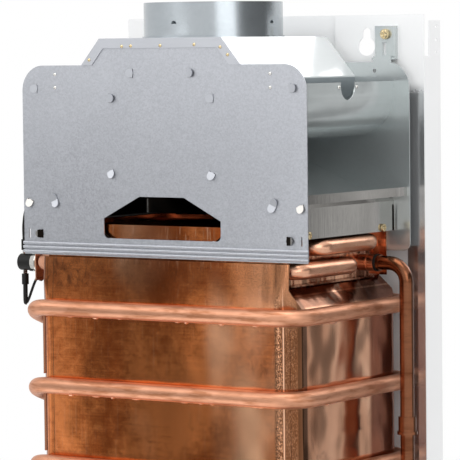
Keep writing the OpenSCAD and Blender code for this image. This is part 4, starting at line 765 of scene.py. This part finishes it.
# drops of solder that set under the turns, in front and at the level flank
solder = {
    "profile": [(0, -0.6), (0.9, -0.5), (1.0, 0.0), (0.86, 0.42), (0.6, 0.74), (0.3, 0.92), (0, 0.98)],
    "segments": 12, "seed": 11, "frontDrops": 9, "flankDrops": 4, "frontX": (-0.100, 0.100),
    "flankY": (-0.135, -0.030), "length": (0.0016, 0.0052), "thick": 0.0022, "hang": 0.0013,
    "hangShare": (0.5, 1.2), "sink": 0.0004,
}


def hangSolder():
    low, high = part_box("combustion_shell")
    off = coil["tubeRadius"] + coil["gap"]
    draw = random.Random(solder["seed"])
    places = []
    for level in coilLevels():
        z = level - coil["tubeRadius"] + solder["sink"]
        for k in range(solder["frontDrops"] + solder["flankDrops"]):
            inFront = k < solder["frontDrops"]
            along = draw.uniform(*solder["frontX" if inFront else "flankY"])
            length = draw.uniform(*solder["length"])
            hang = solder["hang"] * draw.uniform(*solder["hangShare"])
            if inFront:
                place, size = (along, low.y - off, z), (length, solder["thick"], hang)
            else:
                place, size = (high.x + off, along, z), (solder["thick"], length, hang)
            places.append((place, (0, 0, -1), size))
    part = revolved("solderDrop", solder["profile"], solder["segments"])
    piece = setOutOn("solderDrops", places, part, "copperTube")
    bpy.data.objects.remove(part)
    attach(piece, "heater")


hangSolder()
print("stage: coil")

# the shell's front sheet, which runs up flat in front of the exchanger to the rail and wraps both corners
frontSheet = {
    "drops": (0.0014, 0.0120, 0.0210, 0.0250, 0.0290, 0.0330, 0.0373), "foldDrop": 0.0210,
    "topFlat": 0.1130, "footFlat": 0.1055, "topBend": 0.0025, "footBend": 0.0151, "plateThick": 0.0008,
    "topBehindRail": 0.0002, "footProud": 0.0001, "thick": 0.0007, "steps": 8, "sharpAngle": 40,
}


def sheetRing(work, drop, topY, footY, railZ, inset):  # one level of the sheet, from left to right
    firstDrop, lastDrop = frontSheet["drops"][0], frontSheet["drops"][-1]
    share = (drop - firstDrop) / (lastDrop - firstDrop)
    fold = max(0.0, (drop - frontSheet["foldDrop"]) / (lastDrop - frontSheet["foldDrop"]))
    flat = frontSheet["topFlat"] + (frontSheet["footFlat"] - frontSheet["topFlat"]) * fold
    bend = frontSheet["topBend"] + (frontSheet["footBend"] - frontSheet["topBend"]) * fold
    y = topY + (footY - topY) * share
    reach = bend - inset
    turns = [math.pi / 2 * k / frontSheet["steps"] for k in range(frontSheet["steps"] + 1)]
    ring = []
    for outside in (-1, 1):
        for a in turns[::outside]:
            x = outside * (flat + reach * math.sin(a))
            ring.append(work.verts.new((x, y + bend - reach * math.cos(a), railZ - drop)))
    return ring


def layFrontSheet():
    plateLow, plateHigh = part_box("diverter_front_plate")
    topY = plateHigh.y - frontSheet["plateThick"] + frontSheet["topBehindRail"]
    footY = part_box("combustion_shell")[0].y - frontSheet["footProud"]
    work = bmesh.new()
    skins = []
    for inset in (0.0, frontSheet["thick"]):
        rings = [sheetRing(work, drop, topY, footY, plateLow.z, inset) for drop in frontSheet["drops"]]
        for high, low in zip(rings, rings[1:]):
            for k in range(len(high) - 1):
                work.faces.new([high[k], high[k + 1], low[k + 1], low[k]])
        skins.append([*rings[0], *[ring[-1] for ring in rings[1:-1]], *reversed(rings[-1]),
                      *[ring[0] for ring in reversed(rings[1:-1])]])
    for k in range(len(skins[0])):
        k2 = (k + 1) % len(skins[0])
        work.faces.new([skins[0][k], skins[0][k2], skins[1][k2], skins[1][k]])
    bmesh.ops.recalc_face_normals(work, faces=work.faces)
    mesh = closedMesh(work, "frontSheet")
    mesh.materials.append(finishes["heatedCopper"])
    mesh.shade_smooth()
    mesh.set_sharp_from_angle(angle=math.radians(frontSheet["sharpAngle"]))
    piece = addObject("frontSheet", mesh)
    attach(piece, "heater")


layFrontSheet()

# the thermostat's two leads, clipped along the panel to the control box
leads = {
    "radius": 0.0011, "sheathRadius": 0.0019, "sides": 12,
    "panelY": -0.0034, "boxRear": -0.072, "boxZ": -0.448, "upperX": -0.139, "lowerX": -0.135,
    "upperStart": [(0, 0, 0), (0, 0, 0.012), (0.002, 0.001, 0.024), (0.007, 0.006, 0.036)],
    "upperOver": [(-0.117, -0.107), (-0.100, -0.104), (-0.050, -0.103), (-0.018, -0.106), (-0.0064, -0.116)],
    "upperDown": [-0.130, -0.250, -0.380],
    "lowerStart": [(0, 0, 0), (0, 0, -0.012), (0.0006, 0.0002, -0.0148), (0.0026, 0.001, -0.0115),
                   (0.008, 0.004, 0.004), (0.0105, 0.012, 0.010)],
    "lowerOver": [(-0.1425, -0.095, -0.186), (-0.1425, -0.045, -0.187), (-0.141, -0.016, -0.192),
                  (-0.135, -0.0064, -0.202)],
    "lowerDown": [-0.216, -0.300, -0.390],
    "tail": [(0.0, 0.018), (-0.005, 0.005), (-0.018, 0.0)],
    "sheathSteps": {"upper": 25, "lower": 17},
}


def leadEnd(side):  # down the panel and into the control box
    x, y, z = leads[side + "X"], leads["panelY"], leads["boxZ"]
    end = [Vector((x, y, downZ)) for downZ in leads[side + "Down"]]
    end += [Vector((x, y + forwards, z + rise)) for forwards, rise in leads["tail"]]
    return end + [Vector((x, leads["boxRear"], z))]


def layLeads():
    low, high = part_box("terminal_sleeves")
    middle = (low + high) / 2
    upperExit = Vector((middle.x, middle.y, high.z))
    lowerExit = Vector((middle.x, middle.y, low.z))
    upper = [upperExit + Vector(step) for step in leads["upperStart"]]
    upper += [Vector((leads["upperX"], y, z)) for y, z in leads["upperOver"]]
    lower = [lowerExit + Vector(step) for step in leads["lowerStart"]]
    lower += [Vector(place) for place in leads["lowerOver"]]
    for side, start in (("upper", upper), ("lower", lower)):
        path = smoothPath(start + leadEnd(side))
        piece = tubeAlong(side + "Lead", path, leads["radius"], leads["sides"], "blackRubber")
        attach(piece, "heater")
        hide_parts("thermostat_lead_" + side)
        covered = path[:leads["sheathSteps"][side]]
        sheath = tubeAlong(side + "Sheath", covered, leads["sheathRadius"], leads["sides"], "blackRubber")
        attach(sheath, "heater")


layLeads()
print("stage: leads")

# a round-ended notch in each side gutter's wall, through which the roof's tab shows
notch = {
    "wallX": 0.1195, "middleY": -0.0776, "width": 0.0205, "depth": 0.0136, "segments": 40,
    "toolThick": 0.01, "toolRise": 0.02, "smooth": True, "sharpAngle": 30,
}


def notchTool(wallX, topZ):
    work = bmesh.new()
    radius = notch["width"] / 2
    thick, rise = notch["toolThick"], notch["toolRise"]
    y, z = notch["middleY"], topZ - notch["depth"] + radius
    bmesh.ops.create_cone(
        work, cap_ends=True, segments=notch["segments"], radius1=radius, radius2=radius, depth=thick,
        matrix=Matrix.Translation((wallX, y, z)) @ Matrix.Rotation(math.pi / 2, 4, "Y"))
    block = bmesh.ops.create_cube(work, size=1.0)["verts"]
    bmesh.ops.scale(work, vec=(thick, notch["width"], rise), verts=block)
    bmesh.ops.translate(work, vec=(wallX, y, z + rise / 2), verts=block)
    return addObject("notchTool", closedMesh(work, "notchTool"))


def cutCopy(node, name, tool, looks):  # a cut copy of a sheet takes the sheet's place
    mesh = nodes[node].data.copy()
    if "custom_normal" in mesh.attributes:
        mesh.attributes.remove(mesh.attributes["custom_normal"])
    turnOutwards(mesh)
    piece = cutAway(addObject(name + "Whole", mesh), tool, name)
    for face in piece.data.polygons:
        face.use_smooth = looks["smooth"]
    piece.data.set_sharp_from_angle(angle=math.radians(looks["sharpAngle"]))
    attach(piece, "heater")
    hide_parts(node)


def notchGutters():
    for node, name in (("side_gutter_right", "gutterRight"), ("side_gutter_left", "gutterLeft")):
        low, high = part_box(node)
        cutCopy(node, name, notchTool(math.copysign(notch["wallX"], low.x), high.z), notch)


notchGutters()

# the window's lower corners, opened out to their small rounding
window = {
    "halfWidth": 0.055, "footZ": -0.1476, "radius": 0.0040, "reach": 0.0085, "rise": 0.0056, "lap": 0.0004,
    "steps": 6, "toolY": (-0.004, 0.002), "smooth": False, "sharpAngle": 30,
}


def openWindow():
    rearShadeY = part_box("diverter_front_plate")[1].y
    x, z, r = window["halfWidth"], window["footZ"], window["radius"]
    outline = [(x - window["reach"], z + window["lap"]), (x - window["lap"], z + window["rise"])]
    for k in range(window["steps"] + 1):
        a = math.pi / 2 * k / window["steps"]
        outline.append((x - r + r * math.cos(a), z + r - r * math.sin(a)))
    work = bmesh.new()
    for side in (-1, 1):
        rings = []
        for y in window["toolY"]:
            rings.append([work.verts.new((side * px, rearShadeY + y, pz)) for px, pz in outline])
            work.faces.new(rings[-1])
        for k in range(len(outline)):
            k2 = (k + 1) % len(outline)
            work.faces.new([rings[0][k], rings[0][k2], rings[1][k2], rings[1][k]])
    bmesh.ops.recalc_face_normals(work, faces=work.faces)
    tool = addObject("windowTool", closedMesh(work, "windowTool"))
    cutCopy("diverter_front_plate", "frontPlate", tool, window)


openWindow()

# domed heads with a cross recess, over the plain heads of the screws
screwHeads = {
    "profile": [(0, 0.0), (1.04, 0.0), (1.04, 0.62), (0.96, 0.86), (0.78, 1.06), (0.5, 1.2), (0, 1.26)],
    "segments": 24, "slotWidth": 0.26, "slotReach": 0.62, "slotFloor": 1.02, "slotTall": 1.0,
    "bracketHead": (0.0040, 0.0024), "collectorHead": (0.0030, 0.0020), "thermostatHead": (0.0028, 0.0022),
}


def crossHead():
    head = revolved("crossHead", screwHeads["profile"], screwHeads["segments"])
    work = bmesh.new()
    length, width, tall = 2 * screwHeads["slotReach"], screwHeads["slotWidth"], screwHeads["slotTall"]
    for size in ((length, width, tall), (width, length, tall)):
        block = bmesh.ops.create_cube(work, size=1.0)["verts"]
        bmesh.ops.scale(work, vec=size, verts=block)
        bmesh.ops.translate(work, vec=(0, 0, screwHeads["slotFloor"] + tall / 2), verts=block)
    return cutAway(head, addObject("crossTool", closedMesh(work, "crossTool")), "crossHeadPart")


def headPair(node, size, facing, apart):  # heads at both ends of a node's box, on the side that they face
    low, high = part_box(node)
    radius, height = size
    facing, apart = Vector(facing), Vector(apart)
    half = (high - low) / 2
    seat = (low + high) / 2 + facing * (abs(half.dot(facing)) - height)
    reach = apart * (half.dot(apart) - radius)
    return [(place, facing, (radius, radius, height)) for place in (seat - reach, seat + reach)]


def fitScrewHeads():
    yellow = headPair("bracket_screws", screwHeads["bracketHead"], (0, -1, 0), (1, 0, 0))
    for outside in (1, -1):
        yellow += headPair("collector_screws", screwHeads["collectorHead"], (outside, 0, 0), (0, 1, 0))
    plain = headPair("thermostat_screws", screwHeads["thermostatHead"], (-1, 0, 0), (0, 0, 1))
    part = crossHead()
    for name, places, finish in (("yellowHeads", yellow, "yellowZinc"), ("plainHeads", plain, "zincPlate")):
        piece = setOutOn(name, places, part, finish)
        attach(piece, "heater")
    bpy.data.objects.remove(part)


fitScrewHeads()

# pressed dots on the front plate and beside the notches, and clinch marks round the roof's rim
pressings = {
    "profile": [(0, -0.3), (1.0, -0.3), (0.98, 0.0), (0.86, 0.42), (0.6, 0.74), (0.3, 0.92), (0, 0.98)],
    "segments": 16, "dotSize": (0.0015, 0.0015, 0.0011), "dotX": 0.1012, "dotDrops": (0.0071, 0.0175),
    "shoulderRise": 0.1496, "plateBehindRim": 0.0008,
    "notchDotSize": (0.0015, 0.0015, 0.0010), "notchDotReach": 0.0130, "notchDotDrop": 0.0038,
    "clinchSize": (0.0014, 0.0014, 0.0010),
    "clinches": [(-0.0354, 0.0020), (-0.0268, 0.0023), (0.0011, 0.0024), (0.0328, 0.0029), (0.0567, 0.0008),
                 (-0.0669, -0.0083), (0.0635, -0.0051)],
}


def pressDots():
    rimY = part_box("diverter_roof")[0].y
    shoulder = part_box("diverter_front_plate")[0].z + pressings["shoulderRise"]
    notchTop = max(v.co.z for v in bpy.data.objects["gutterRight"].data.vertices)
    forwards = (0, -1, 0)
    dots = []
    for side in (-1, 1):
        for drop in pressings["dotDrops"]:
            place = (side * pressings["dotX"], rimY + pressings["plateBehindRim"], shoulder - drop)
            dots.append((place, forwards, pressings["dotSize"]))
    for outside in (-1, 1):
        for side in (-1, 1):
            y = notch["middleY"] + side * pressings["notchDotReach"]
            place = (outside * notch["wallX"], y, notchTop - pressings["notchDotDrop"])
            dots.append((place, (outside, 0, 0), pressings["notchDotSize"]))
    clinches = [((x, rimY, z), forwards, pressings["clinchSize"]) for x, z in pressings["clinches"]]
    part = revolved("pressedDot", pressings["profile"], pressings["segments"])
    for name, places, finish in (("pressedDots", dots, "zincPlate"), ("rimClinches", clinches, "yellowZinc")):
        piece = setOutOn(name, places, part, finish)
        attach(piece, "heater")
    bpy.data.objects.remove(part)


pressDots()

# helical threads on the three unions
threads = {
    "pitch": 0.00181, "ridge": 0.0005, "sides": 6, "stepsPerTurn": 24, "length": 0.020, "radius": 0.01035,
    "unions": {
        "coldThread": "cold_inlet_fitting",
        "gasThread": "gas_inlet_fitting",
        "hotThread": "hot_outlet_fitting",
    },
}


def cutThreads():
    rise = threads["pitch"] / threads["stepsPerTurn"]
    for name, node in threads["unions"].items():
        low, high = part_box(node)
        x, y = (low.x + high.x) / 2, (low.y + high.y) / 2
        points = []
        for k in range(round(threads["length"] / rise) + 1):
            a = 2 * math.pi * k / threads["stepsPerTurn"]
            z = low.z + threads["ridge"] + rise * k
            points.append((x + threads["radius"] * math.cos(a), y + threads["radius"] * math.sin(a), z))
        piece = tubeAlong(name, points, threads["ridge"], threads["sides"], "turnedBrass")
        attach(piece, "heater")


cutThreads()
print("stage: screw heads, pressed dots and threads")

# white studio: pale floor, soft lamps, a white world and cards that only reflections show
studio = {
    "floorDrop": 0.07, "floorRadius": 1.5, "floorSides": 96, "floorRough": 0.7,
    "floorPale": (0.80, 0.80, 0.80), "floorDeep": (0.776, 0.776, 0.776), "floorGrain": (40.0, 2.0, 0.5),
    "ambient": 0.64, "aim": (0.0, -0.08, -0.2),
    "barRun": (1.0, 0.12, 1.0), "bar": (16.0, 1.0, 0.4), "barEdge": (0.48, 0.72),
}
# place, size and power
lamps = {
    "keyLamp": ((-1.15, -1.45, 0.80), 1.3, 8.5),
    "fillLamp": ((1.45, -1.10, 0.40), 1.1, 6.0),
    "topLamp": ((0.25, -0.45, 1.45), 1.2, 14.0),
    "backLamp": ((0.40, 1.50, 0.80), 1.2, 9.0),
}
# place, facing, half width and height; centre line, greys there and away from it, fade between them, bars
cards = {
    "frontCard": ((-0.228, -0.487, -0.35), (0.571, 0.812, 0), (0.21, 0.28),
                  0.0, (0.13, 0.56), (0.05, 0.95), 0.95),
    "plateCard": ((-0.514, -0.89, -0.175), (0.571, 0.812, 0), (0.45, 0.125),
                  0.45, (0.05, 2.95), (0.5, 1.6), 0.0),
    "sideCard": ((0.4325, 0.4336, -0.27), (-0.5217, -0.852, 0), (0.3, 0.21),
                 0.0, (0.75, 0.16), (0.02, 0.22), 0.0),
    "collarCard": ((0.72, 0.22, 0.06), (-0.93, -0.36, 0), (0.7, 0.11),
                   0.05, (0.06, 0.60), (0.45, 1.0), 0.0),
    "footCard": ((-0.20, -0.38, -0.50), (0, 0, 1), (0.3, 0.2),
                 0.0, (1.9, 1.9), (0.0, 1.0), 0.0),
}


def floorShade():
    finish = Finish("paleFloor")
    grain = finish.place.noise(*studio["floorGrain"])
    finish.put("Base Color", grain.choose(studio["floorDeep"], studio["floorPale"]))
    finish.put("Roughness", studio["floorRough"])
    return finish.material


def addFloor():
    low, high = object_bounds()
    disc = bmesh.new()
    bmesh.ops.create_circle(disc, cap_ends=True, segments=studio["floorSides"], radius=studio["floorRadius"])
    bmesh.ops.translate(disc, vec=(0, (low.y + high.y) / 2, low.z - studio["floorDrop"]), verts=disc.verts)
    mesh = closedMesh(disc, "studioFloor")
    mesh.materials.append(floorShade())
    floor = addObject("studioFloor", mesh)


def cardShade(name, half, centre, greys, fade, bars):
    finish = Finish(name + "Shade")
    reach = abs(finish.place.axis("X") - centre) / half
    bar = finish.place.stretched(studio["barRun"]).noise(*studio["bar"]).between(*studio["barEdge"])
    level = greys[0] + reach.between(*fade) * (greys[1] - greys[0]) + bar * bars
    finish.put("Base Color", (0, 0, 0, 1))
    finish.put("Emission Color", level.node("ShaderNodeCombineColor", None, {0: level, 1: level, 2: level}))
    finish.put("Emission Strength", 1.0)
    finish.put("Roughness", 1.0)
    return finish.material


def turnTo(seat, direction, axis):
    seat.rotation_mode = "QUATERNION"
    seat.rotation_quaternion = direction.to_track_quat(axis, "Y")


def addCard(name, place, face, half, *looks):
    w, h = half
    mesh = bpy.data.meshes.new(name)
    mesh.from_pydata([(-w, -h, 0), (w, -h, 0), (w, h, 0), (-w, h, 0)], [], [(0, 1, 2, 3)])
    mesh.materials.append(cardShade(name, w, *looks))
    seat = addObject(name, mesh)
    seat.location = place
    turnTo(seat, Vector(face), "Z")
    seat.visible_camera = False
    seat.visible_diffuse = False
    seat.visible_shadow = False
    seat.visible_transmission = False


def addLamp(name, place, size, power):
    data = bpy.data.lights.new(name, "AREA")
    data.shape = "SQUARE"
    data.size = size
    data.energy = power
    seat = addObject(name, data)
    seat.location = place
    turnTo(seat, Vector(studio["aim"]) - Vector(place), "-Z")


def addWorld():
    world = bpy.data.worlds.new("whiteStudio")
    world.use_nodes = True
    bpy.context.scene.world = world
    tree = world.node_tree
    tree.nodes.clear()
    seen = Wire(tree).node("ShaderNodeLightPath", out="Is Camera Ray")
    mirrored = Wire(tree).node("ShaderNodeLightPath", out="Is Glossy Ray")
    through = Wire(tree).node("ShaderNodeLightPath", out="Is Transmission Ray")
    shown = (seen + mirrored + through).clamp()
    level = studio["ambient"] + shown * (1.0 - studio["ambient"])
    sky = Wire(tree).node("ShaderNodeBackground", None, {"Color": (1, 1, 1, 1), "Strength": level})
    end = tree.nodes.new("ShaderNodeOutputWorld")
    tree.links.new(sky.socket, end.inputs["Surface"])


addFloor()
addWorld()
for lampName, row in lamps.items():
    addLamp(lampName, *row)
for cardName, row in cards.items():
    addCard(cardName, *row)
bpy.context.scene.view_settings.view_transform = "Standard"
print("stage: studio")
